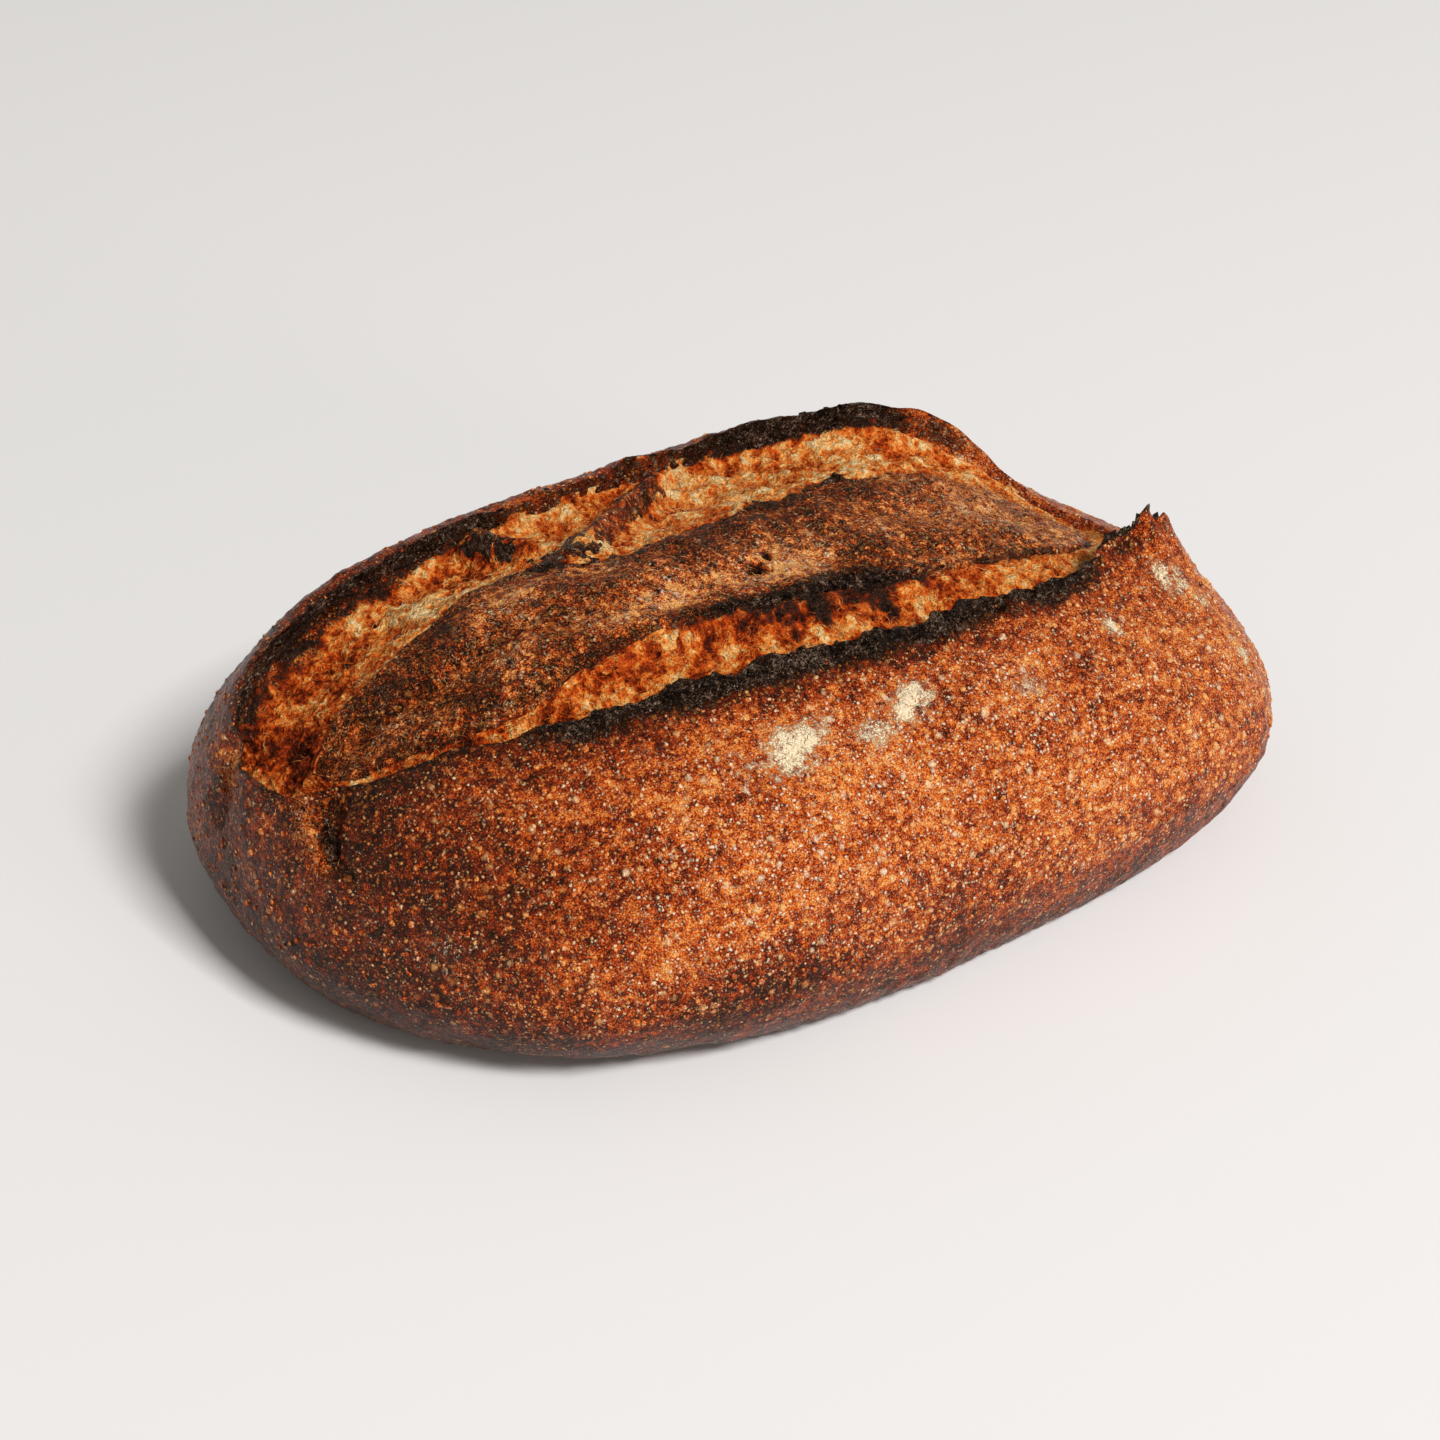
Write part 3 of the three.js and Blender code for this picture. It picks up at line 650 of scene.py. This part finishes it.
# Jagged shards of charcoal stand on the burnt rims and on the horn.
shards = {
    "onRims": 420, "onHorn": 26, "size": (0.3, 0.8),
    "rimProportions": (1.9, 0.8, 0.55), "hornProportions": (1.6, 0.6, 2.0),
    "hornFrom": 87, "hornTo": 105, "hornLean": (0.15, 0.1, 1.0), "hornRun": (1.0, 0.1, 0.0),
}


def ballShape():  # the twelve corners and twenty faces of an icosahedron
    g = (1 + math.sqrt(5)) / 2
    points = [(-1, g, 0), (1, g, 0), (-1, -g, 0), (1, -g, 0), (0, -1, g), (0, 1, g), (0, -1, -g), (0, 1, -g),
              (g, 0, -1), (g, 0, 1), (-g, 0, -1), (-g, 0, 1)]
    faces = [(0, 11, 5), (0, 5, 1), (0, 1, 7), (0, 7, 10), (0, 10, 11), (1, 5, 9), (5, 11, 4), (11, 10, 2),
             (10, 7, 6), (7, 1, 8), (3, 9, 4), (3, 4, 2), (3, 2, 6), (3, 6, 8), (3, 8, 9), (4, 9, 5),
             (2, 4, 11), (6, 2, 10), (8, 6, 7), (9, 8, 1)]
    return np.array(points) / math.hypot(1, g), np.array(faces)


def shardsAt(name, place, normal, along, proportions, seed):
    count = len(place)
    ball, faces = ballShape()
    jagged = 0.65 + 0.75 * numbers(count * 12, seed).reshape(count, 12, 1)
    scale = spread(count, seed + 2, shards["size"])[:, None] * proportions
    shape = ball[None] * jagged * scale[:, None]
    lean = normal + 0.6 * along * (2 * numbers(count, seed + 3)[:, None] - 1)
    lean = lean / np.linalg.norm(lean, axis=1, keepdims=True)
    side = np.cross(lean, along)
    side = side / np.linalg.norm(side, axis=1, keepdims=True)
    axes = np.stack([np.cross(side, lean), side, lean], 1)
    points, faces = copies(shape, faces, place + lean * (scale[:, 2:] * 0.3), axes)
    ones = np.ones(len(points))
    return meshFrom(name, points, [faces], {"toast": 0.75 * ones, "charred": 0.95 * ones}, False)


def makeShards(skin):
    spots = picked(skin, skin["onRim"] * np.clip(skin["char"] - 0.35, 0, 1), shards["onRims"], 3)
    onRims = shardsAt("charShards", spots["place"], spots["normal"], spots["along"],
                      shards["rimProportions"], 5)
    count = shards["onHorn"]
    x = np.linspace(shards["hornFrom"], shards["hornTo"], count) + spread(count, 61, (-0.5, 0.5))
    edge = curves["frontEar"](x / rims["frontEar"][-1][0])
    edge[:, 2] += profiles["horn"](x)
    up = np.tile(shards["hornLean"], (count, 1))
    run = np.tile(shards["hornRun"], (count, 1))
    place = edge + spread(count, 67, (-1.4, -0.2))[:, None] * up
    up = up / np.linalg.norm(up[0])
    return onRims, shardsAt("hornShards", place, up, run, shards["hornProportions"], 71)


# Thin curled fibres lie on the torn crumb and on the strip.
fibres = {"inEachTear": 1600, "onStrip": 3200, "length": (1.2, 3.6), "radius": (0.07, 0.14), "curl": 2.2}


def fibresAt(name, surface, weights, count, seed):
    spots = picked(surface, weights, count, seed)
    normal, turned = spots["normal"], spots["turned"]
    steps = np.linspace(0, 1, 6)[None, :, None]
    length = spread(count, seed + 4, fibres["length"])[:, None, None]
    curl = (2 * numbers(count, seed + 5) - 1)[:, None, None] * fibres["curl"]
    bend = np.where(abs(curl) < 0.1, 0.1, curl)
    side = np.cross(normal, turned)
    course = turned[:, None] * np.sin(curl * steps) / bend + side[:, None] * (1 - np.cos(curl * steps)) / bend
    path = spots["place"][:, None] + length * course
    arch = spread(count, seed + 6, (0.1, 0.5))[:, None, None]
    path = path + normal[:, None] * (arch * length * 0.5 * np.sin(steps * math.pi) + 0.06)
    radius = spread(count, seed + 7, fibres["radius"])[:, None, None] * (1 - 0.6 * steps)
    ring = []
    for corner in range(3):
        angle = corner * 2 * math.pi / 3
        ring.append(path + radius * (normal[:, None] * math.cos(angle) + side[:, None] * math.sin(angle)))
    points = np.stack(ring, 2).reshape(-1, 3)
    rows = np.arange(5)[:, None] * 3
    a = np.arange(3)[None]
    b = (a + 1) % 3
    quads = np.stack([rows + a, rows + b, rows + 3 + b, rows + 3 + a], -1).reshape(-1, 4)
    caps = np.array([(2, 1, 0), (15, 16, 17)])
    shift = (np.arange(count) * 18)[:, None, None]
    faces = [(quads[None] + shift).reshape(-1, 4), (caps[None] + shift).reshape(-1, 3)]
    toast = 0.45 * surface["toast"].ravel()[spots["at"]] - 0.04 + 0.2 * numbers(count, seed + 8)
    return meshFrom(name, points, faces, {"toast": np.repeat(toast, 18)})


# Small domes of starch stand on the wall's crust, more of them low down.
blisters = {"count": 2300, "size": (0.5, 1.25), "flatness": (0.7, 0.9), "sparseAbove": 70}


def makeBlisters(skin, seed):
    count = blisters["count"]
    weights = skin["cleanWall"] * (1.5 - skin["grid"][..., 2] / blisters["sparseAbove"])
    spots = picked(skin, weights, count, seed)
    angle = np.arange(8) * math.pi / 4
    ring = np.stack([np.cos(angle), np.sin(angle), 0 * angle], -1)
    shape = np.concatenate([
        ring + (0, 0, -0.25), ring * (0.72, 0.72, 1) + (0, 0, 0.24), [(0, 0, 0.36)], [(0, 0, -0.5)]])
    size = spread(count, seed + 4, blisters["size"]) * (0.5 + 0.5 * numbers(count, seed + 5))
    shape = shape[None] * size[:, None, None] * (1, spread(1, seed + 6, blisters["flatness"])[0], 1)
    axes = np.stack([spots["turned"], np.cross(spots["normal"], spots["turned"]), spots["normal"]], 1)
    a = np.arange(8)
    b = (a + 1) % 8
    quads = np.stack([a, b, b + 8, a + 8], -1)
    tips = np.concatenate([np.stack([a + 8, b + 8, a * 0 + 16], -1), np.stack([b, a, a * 0 + 17], -1)])
    points, quads = copies(shape, quads, spots["place"], axes)
    _, tips = copies(shape, tips, spots["place"], axes)
    toast = skin["toast"].ravel()[spots["at"]] - 0.2 - 0.12 * numbers(count, seed + 7)
    return meshFrom("blisters", points, [quads, tips], {"toast": np.repeat(toast, 18)})


def hexColour(text):  # sRGB hex to linear
    parts = [int(text[i:i + 2], 16) / 255 for i in (1, 3, 5)]
    return (*[p / 12.92 if p <= 0.04045 else ((p + 0.055) / 1.055) ** 2.4 for p in parts], 1.0)


def perMm(size):  # noise scale for features of this size in mm
    return 1000 / size


def addNode(tree, kind, inputs=None, out=0, stops=None, **settings):  # gives back one of its outputs
    node = tree.nodes.new(kind)
    for name, value in settings.items():
        setattr(node, name, value)
    for name, value in (inputs or {}).items():
        if isinstance(value, bpy.types.NodeSocket):
            tree.links.new(value, node.inputs[name])
        else:
            node.inputs[name].default_value = value
    if stops:
        elements = node.color_ramp.elements
        while len(elements) < len(stops):
            elements.new(0.5)
        for element, (at, colour) in zip(elements, stops):
            element.position = at
            element.color = hexColour(colour)
    return node.outputs[out] if node.outputs else node


def newMaterial(name):
    material = bpy.data.materials.new(name)
    material.use_nodes = True
    material.node_tree.nodes.clear()
    return material, material.node_tree


def weighed(tree, start, *terms):  # start plus each socket times its weight
    for socket, weight in terms:
        start = addNode(tree, "ShaderNodeMath", {0: socket, 1: weight, 2: start}, operation="MULTIPLY_ADD")
    return start


def cloudsIn(tree, place, clouds):  # cloudy patterns round 0, from size in mm, detail and roughness
    made = {}
    for name, (mm, detail, roughness) in clouds.items():
        cloud = addNode(tree, "ShaderNodeTexNoise", {
            "Vector": place, "Scale": perMm(mm), "Detail": detail, "Roughness": roughness})
        made[name] = addNode(tree, "ShaderNodeMath", {0: cloud, 1: 0.5}, operation="SUBTRACT")
    return made


def threadsIn(tree, place, mm, width):  # thin wiry lines of 1 on 0, with gaps along them
    cloud = cloudsIn(tree, place, {"line": (mm, 2.0, 0.5), "gap": (1.7 * mm, 2.0, 0.6)})
    away = addNode(tree, "ShaderNodeMath", {0: cloud["line"]}, operation="ABSOLUTE")
    line = addNode(tree, "ShaderNodeMapRange", {"Value": away, "From Min": width, "From Max": 0.3 * width})
    gap = addNode(tree, "ShaderNodeMapRange", {"Value": cloud["gap"], "From Min": -0.03, "From Max": 0.1})
    return addNode(tree, "ShaderNodeMath", {0: line, 1: gap}, operation="MULTIPLY")


# Wheat crust, hearth-baked: starch blisters read as gold flecks on red-brown, rims go to charcoal,
# and a thin dextrin film gives a broad soft sheen; on the front wall part of it is painted sheen in the
# flecks' colour.
crustLook = {
    "baseStops": [
        (0.0, "#f4b468"), (0.18, "#df782a"), (0.32, "#bb460d"), (0.46, "#782105"), (0.6, "#3c0f03"),
        (0.78, "#1d0802"), (1.0, "#0c0502")],
    "fleckStops": [
        (0.0, "#ffeed2"), (0.3, "#fad3a0"), (0.5, "#eba663"), (0.72, "#c8742f"), (1.0, "#84461a")],
    # the light grey-brown end of the char ramp is partly ash-grey char and partly painted glints
    "charStops": [
        (0.0, "#050302"), (0.3, "#160e09"), (0.5, "#36251b"), (0.7, "#6d5544"), (1.0, "#b39b88")],
    # cloudy patterns, as size in mm, detail and roughness
    "clouds": {
        "grain": (0.4, 2.0, 0.6), "blotch": (2.2, 3.0, 0.65), "patch": (9.0, 4.0, 0.6),
        "scorch": (1.3, 3.0, 0.7), "soot": (1.3, 4.0, 0.8), "ash": (5.0, 2.0, 0.6), "cinder": (1.6, 4.0, 0.7),
        "flourHeap": (3.2, 6.0, 0.95), "flourDust": (0.5, 2.0, 0.6)},
    # round flecks of starch, as size in mm, share of places that have one, and largest radius over size
    "flecks": {"fleck": (0.95, 0.85, 0.5), "fine": (0.6, 0.7, 0.46), "oval": (2.6, 0.4, 0.4)},
    "wobbleMm": 1.6, "wobbleReachMm": 1.2, "curlMm": 1.3, "curlWidth": 0.05, "flourCrackWidth": 0.04,
    "burntFrom": 0.4, "burntTo": 0.74, "flourFrom": 0.46, "flourTo": 0.68,
    "flourColour": "#f8e3bc", "tint": "#ffdcc4", "roughness": 0.31, "ior": 1.45, "specular": 0.3,
    "reliefMm": 0.6,
}


def flecksIn(tree, place, mm, share, largest):  # how much of a fleck, and a number of its own
    distance = addNode(tree, "ShaderNodeTexVoronoi", {"Vector": place, "Scale": perMm(mm)}, out="Distance")
    own = addNode(tree, "ShaderNodeSeparateColor", {"Color": distance.node.outputs["Color"]})
    radius = addNode(tree, "ShaderNodeMapRange", {
        "Value": own, "From Min": 1 - share, "From Max": 1.0, "To Min": 0.08, "To Max": largest})
    inside = weighed(tree, radius, (distance, -1.0))
    fleck = addNode(tree, "ShaderNodeMapRange", {"Value": inside, "From Min": -0.04, "From Max": 0.2})
    return fleck, own.node.outputs[1]


def makeCrustMaterial():
    material, tree = newMaterial("bakedWheatCrust")
    look = crustLook
    place = addNode(tree, "ShaderNodeTexCoord", out="Object")
    toast, charred, flour, paintedSheen, curlsAndGlints = (  # what the meshes hold at each point
        addNode(tree, "ShaderNodeAttribute", out="Fac", attribute_name=name)
        for name in ("toast", "charred", "flour", "paintedSheen", "curlsAndGlints"))
    cloud = cloudsIn(tree, place, look["clouds"])
    grain, blotch, patch = cloud["grain"], cloud["blotch"], cloud["patch"]

    # flecks sit in places that wander a little, so that they aren't perfectly round
    wobble = addNode(tree, "ShaderNodeTexNoise", {
        "Vector": place, "Scale": perMm(look["wobbleMm"]), "Detail": 2.0}, out="Color")
    reach = (look["wobbleReachMm"] / 1000,) * 3
    wandering = addNode(
        tree, "ShaderNodeVectorMath", {0: wobble, 1: reach, 2: place}, operation="MULTIPLY_ADD")
    fleck, fleckOwn = flecksIn(tree, wandering, *look["flecks"]["fleck"])
    fine, _ = flecksIn(tree, wandering, *look["flecks"]["fine"])
    oval, ovalOwn = flecksIn(tree, wandering, *look["flecks"]["oval"])
    fine = weighed(tree, 0.0, (fine, 0.7))
    fleck = addNode(tree, "ShaderNodeMath", {0: fleck, 1: fine}, operation="MAXIMUM")
    # thin light lines in fleck colour on the strip and the torn crust, partly curled crust and partly painted
    # glints on tiny ridges
    threadAndGlintLines = addNode(tree, "ShaderNodeMath", {
        0: threadsIn(tree, place, look["curlMm"], look["curlWidth"]), 1: curlsAndGlints}, operation="MULTIPLY")

    level = weighed(tree, toast, (grain, weighed(tree, 1.2, (curlsAndGlints, 0.4))),
                    (blotch, weighed(tree, 1.1, (curlsAndGlints, 1.5))), (patch, 0.5))
    # painted sheen: this field shifts the flecks towards lighter, pinker colour
    fleckLevel = weighed(tree, -0.3, (toast, 1.15), (grain, 0.9), (paintedSheen, -0.2), (fleckOwn, 0.6))
    ovalLevel = weighed(tree, -0.2, (toast, 1.15), (grain, 0.9), (paintedSheen, -0.2), (ovalOwn, 0.4))
    darkest = addNode(tree, "ShaderNodeMath", {0: toast, 1: 1.0}, operation="MAXIMUM")
    charLevel = weighed(tree, 1.21, (grain, 1.5), (cloud["soot"], 2.4), (cloud["ash"], 0.9), (darkest, -0.8))
    base, ovalColour, fleckColour, char = (
        addNode(tree, "ShaderNodeValToRGB", {"Fac": fac}, stops=look[stops])
        for fac, stops in ((level, "baseStops"), (ovalLevel, "fleckStops"), (fleckLevel, "fleckStops"),
                           (charLevel, "charStops")))

    burnt = addNode(tree, "ShaderNodeMapRange", {
        "Value": weighed(tree, charred, (cloud["scorch"], 1.5), (patch, 0.8)),
        "From Min": look["burntFrom"], "From Max": look["burntTo"]})
    dusty = addNode(tree, "ShaderNodeMapRange", {
        "Value": weighed(tree, flour, (cloud["flourHeap"], 3.6), (cloud["flourDust"], 1.2)),
        "From Min": look["flourFrom"], "From Max": look["flourTo"]})
    unbroken = addNode(tree, "ShaderNodeMapRange", {
        "Value": threadsIn(tree, place, look["curlMm"], look["flourCrackWidth"]),
        "From Min": 0.1, "From Max": 0.8, "To Min": 1.0, "To Max": 0.15})
    dust = addNode(tree, "ShaderNodeMath", {0: dusty, 1: unbroken}, operation="MULTIPLY")

    # one coat over the other
    colour = base
    flecked = addNode(tree, "ShaderNodeMath", {
        0: weighed(tree, 0.0, (fleck, 0.85)), 1: weighed(tree, 0.0, (threadAndGlintLines, 0.6))}, operation="MAXIMUM")
    for share, coat in ((weighed(tree, 0.0, (oval, 0.75)), ovalColour), (flecked, fleckColour), (burnt, char),
                        (dust, hexColour(look["flourColour"]))):
        colour = addNode(tree, "ShaderNodeMix", {0: share, 6: colour, 7: coat}, out=2, data_type="RGBA")

    # burnt crust is rough in itself as well as raised
    cinder = addNode(tree, "ShaderNodeMath", {0: burnt, 1: cloud["cinder"]}, operation="MULTIPLY")
    height = weighed(tree, 0.0, (fleck, 0.5), (oval, 0.7), (grain, 1.5), (blotch, 2.2), (threadAndGlintLines, 0.4),
                     (dust, 0.3), (burnt, 2.5), (cinder, 5.0))
    bump = addNode(tree, "ShaderNodeBump", {
        "Height": height, "Strength": 1.0, "Distance": look["reliefMm"] / 1000})
    shader = addNode(tree, "ShaderNodeBsdfPrincipled", {
        "Base Color": colour, "Normal": bump, "IOR": look["ior"], "Specular IOR Level": look["specular"],
        "Specular Tint": hexColour(look["tint"]),
        "Roughness": weighed(tree, look["roughness"], (dust, 0.4), (burnt, -0.03), (grain, 0.3))})
    addNode(tree, "ShaderNodeOutputMaterial", {"Surface": shader})
    return material


# Torn wheat crumb, toasted in the oven: woolly and matt, from straw where it tore last to charcoal
# at the rims; raised wool is painted lighter and hollows darker (painted shade), and thin threads are partly
# painted glints.
crumbLook = {
    "toastStops": [
        (0.0, "#fbdca4"), (0.16, "#f7b460"), (0.32, "#e87c2b"), (0.46, "#c44a0e"), (0.6, "#842706"),
        (0.76, "#3e1204"), (1.0, "#180804")],
    "charStops": [(0.0, "#030202"), (0.4, "#120b08"), (0.65, "#38241a"), (1.0, "#75533c")],
    "clouds": {"wool": (0.75, 3.0, 0.6), "nub": (1.9, 3.0, 0.55), "patch": (6.0, 3.0, 0.6)},
    "threadMm": 1.1, "threadWidth": 0.06, "burntFrom": 0.45, "burntTo": 0.75,
    "tint": "#ffdcc4", "roughness": 0.42, "ior": 1.45, "specular": 0.25, "reliefMm": 0.7,
}


def makeCrumbMaterial():
    material, tree = newMaterial("tornWheatCrumb")
    look = crumbLook
    place = addNode(tree, "ShaderNodeTexCoord", out="Object")
    toast, charred = (
        addNode(tree, "ShaderNodeAttribute", out="Fac", attribute_name=name) for name in ("toast", "charred"))
    cloud = cloudsIn(tree, place, look["clouds"])
    wool, nub, patch = cloud["wool"], cloud["nub"], cloud["patch"]
    threadAndGlintLines = threadsIn(tree, place, look["threadMm"], look["threadWidth"])
    # the crumb is painted lighter where its bump stands high and darker in its hollows (painted shade), and
    # lighter along the thin threads (partly painted glints)
    level = weighed(tree, toast, (wool, -0.9), (nub, -0.8), (patch, 1.2), (threadAndGlintLines, -0.2))
    toasted = addNode(tree, "ShaderNodeValToRGB", {"Fac": level}, stops=look["toastStops"])
    char = addNode(tree, "ShaderNodeValToRGB", {"Fac": weighed(tree, 0.5, (wool, 1.3))},
                   stops=look["charStops"])
    burnt = addNode(tree, "ShaderNodeMapRange", {
        "Value": weighed(tree, charred, (wool, 1.6), (patch, 0.9)),
        "From Min": look["burntFrom"], "From Max": look["burntTo"]})
    colour = addNode(tree, "ShaderNodeMix", {0: burnt, 6: toasted, 7: char}, out=2, data_type="RGBA")
    bump = addNode(tree, "ShaderNodeBump", {
        "Height": weighed(tree, 0.0, (wool, 2.0), (threadAndGlintLines, 0.5), (nub, 3.5)), "Strength": 1.0,
        "Distance": look["reliefMm"] / 1000})
    shader = addNode(tree, "ShaderNodeBsdfPrincipled", {
        "Base Color": colour, "Normal": bump, "IOR": look["ior"], "Specular IOR Level": look["specular"],
        "Specular Tint": hexColour(look["tint"]), "Roughness": weighed(tree, look["roughness"], (wool, 0.3))})
    addNode(tree, "ShaderNodeOutputMaterial", {"Surface": shader})
    return material


def finished(piece, material):
    piece.data.materials.append(material)
    print(piece.name + ":", len(piece.data.polygons), "faces")


crustMaterial, crumbMaterial = makeCrustMaterial(), makeCrumbMaterial()
print("materials made")
loafPiece, skin = makeCrust()
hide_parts("loaf")
finished(loafPiece, crustMaterial)
for side, seed in (("front", 11), ("rear", 23)):
    piece, torn = makeCrumb(side)
    finished(piece, crumbMaterial)
    finished(fibresAt(side + "Fibres", torn, torn["open"], fibres["inEachTear"], seed), crumbMaterial)
for piece in makeShards(skin):
    finished(piece, crustMaterial)
finished(makeBlisters(skin, 31), crustMaterial)
onStrip = skin["cleanTop"] + 6 * skin["torn"]
finished(fibresAt("crustFibres", skin, onStrip, fibres["onStrip"], 41), crustMaterial)

stage = {
    "floorColour": "#e6e4e3", "floorSize": 8.0, "floorRoughness": 0.9,
    "worldColour": "#fffcf6", "worldStrength": 0.26,
    # place, size, power and colour of the main light and of a low, weak one that glosses the front crust
    "lights": {
        "key": ((0.35, -3.3, 3.7), 1.2, 258.0, "#ffffff"),
        "gloss": ((0.78, -2.6, 0.6), 0.7, 13.0, "#fff4ee"),
    },
}


def makeStage():
    bpy.ops.mesh.primitive_plane_add(size=stage["floorSize"], location=(0, 0, 0))
    floor = bpy.context.object
    floor.name = "floor"
    material, tree = newMaterial("mattPaper")  # even and free of shine
    shader = addNode(tree, "ShaderNodeBsdfPrincipled", {
        "Base Color": hexColour(stage["floorColour"]), "Roughness": stage["floorRoughness"],
        "Specular IOR Level": 0.2})
    addNode(tree, "ShaderNodeOutputMaterial", {"Surface": shader})
    floor.data.materials.append(material)

    world = bpy.data.worlds.new("studio")
    world.use_nodes = True
    background = world.node_tree.nodes["Background"]
    background.inputs["Color"].default_value = hexColour(stage["worldColour"])
    background.inputs["Strength"].default_value = stage["worldStrength"]
    bpy.context.scene.world = world

    for name, (place, size, power, colour) in stage["lights"].items():
        light = bpy.data.lights.new(name, "AREA")
        light.energy, light.size = power, size
        light.color = hexColour(colour)[:3]
        lamp = bpy.data.objects.new(name, light)
        lamp.location = place
        lamp.rotation_euler = (-Vector(place)).to_track_quat("-Z", "Y").to_euler()
        bpy.context.scene.collection.objects.link(lamp)
    bpy.context.scene.view_settings.view_transform = "Standard"
    print("floor and lights made")


# angles in degrees, distance and aim in metres, lens and sensor in mm
view = {
    "azimuth": -33.4, "elevation": 34.0, "distance": 0.7515, "aim": (-0.0053, -0.0059, 0.041),
    "lens": 80, "sensor": 36, "shift": (-0.0052, -0.0142),
}


def makeCamera():
    a, e = math.radians(view["azimuth"]), math.radians(view["elevation"])
    back = Vector((math.sin(a) * math.cos(e), -math.cos(a) * math.cos(e), math.sin(e)))
    data = bpy.data.cameras.new("camera")
    data.lens, data.sensor_width = view["lens"], view["sensor"]
    data.shift_x, data.shift_y = view["shift"]
    camera = bpy.data.objects.new("camera", data)
    camera.location = Vector(view["aim"]) + back * view["distance"]
    camera.rotation_euler = (-back).to_track_quat("-Z", "Y").to_euler()
    bpy.context.scene.collection.objects.link(camera)
    bpy.context.scene.camera = camera
    print("camera made")


makeStage()
makeCamera()
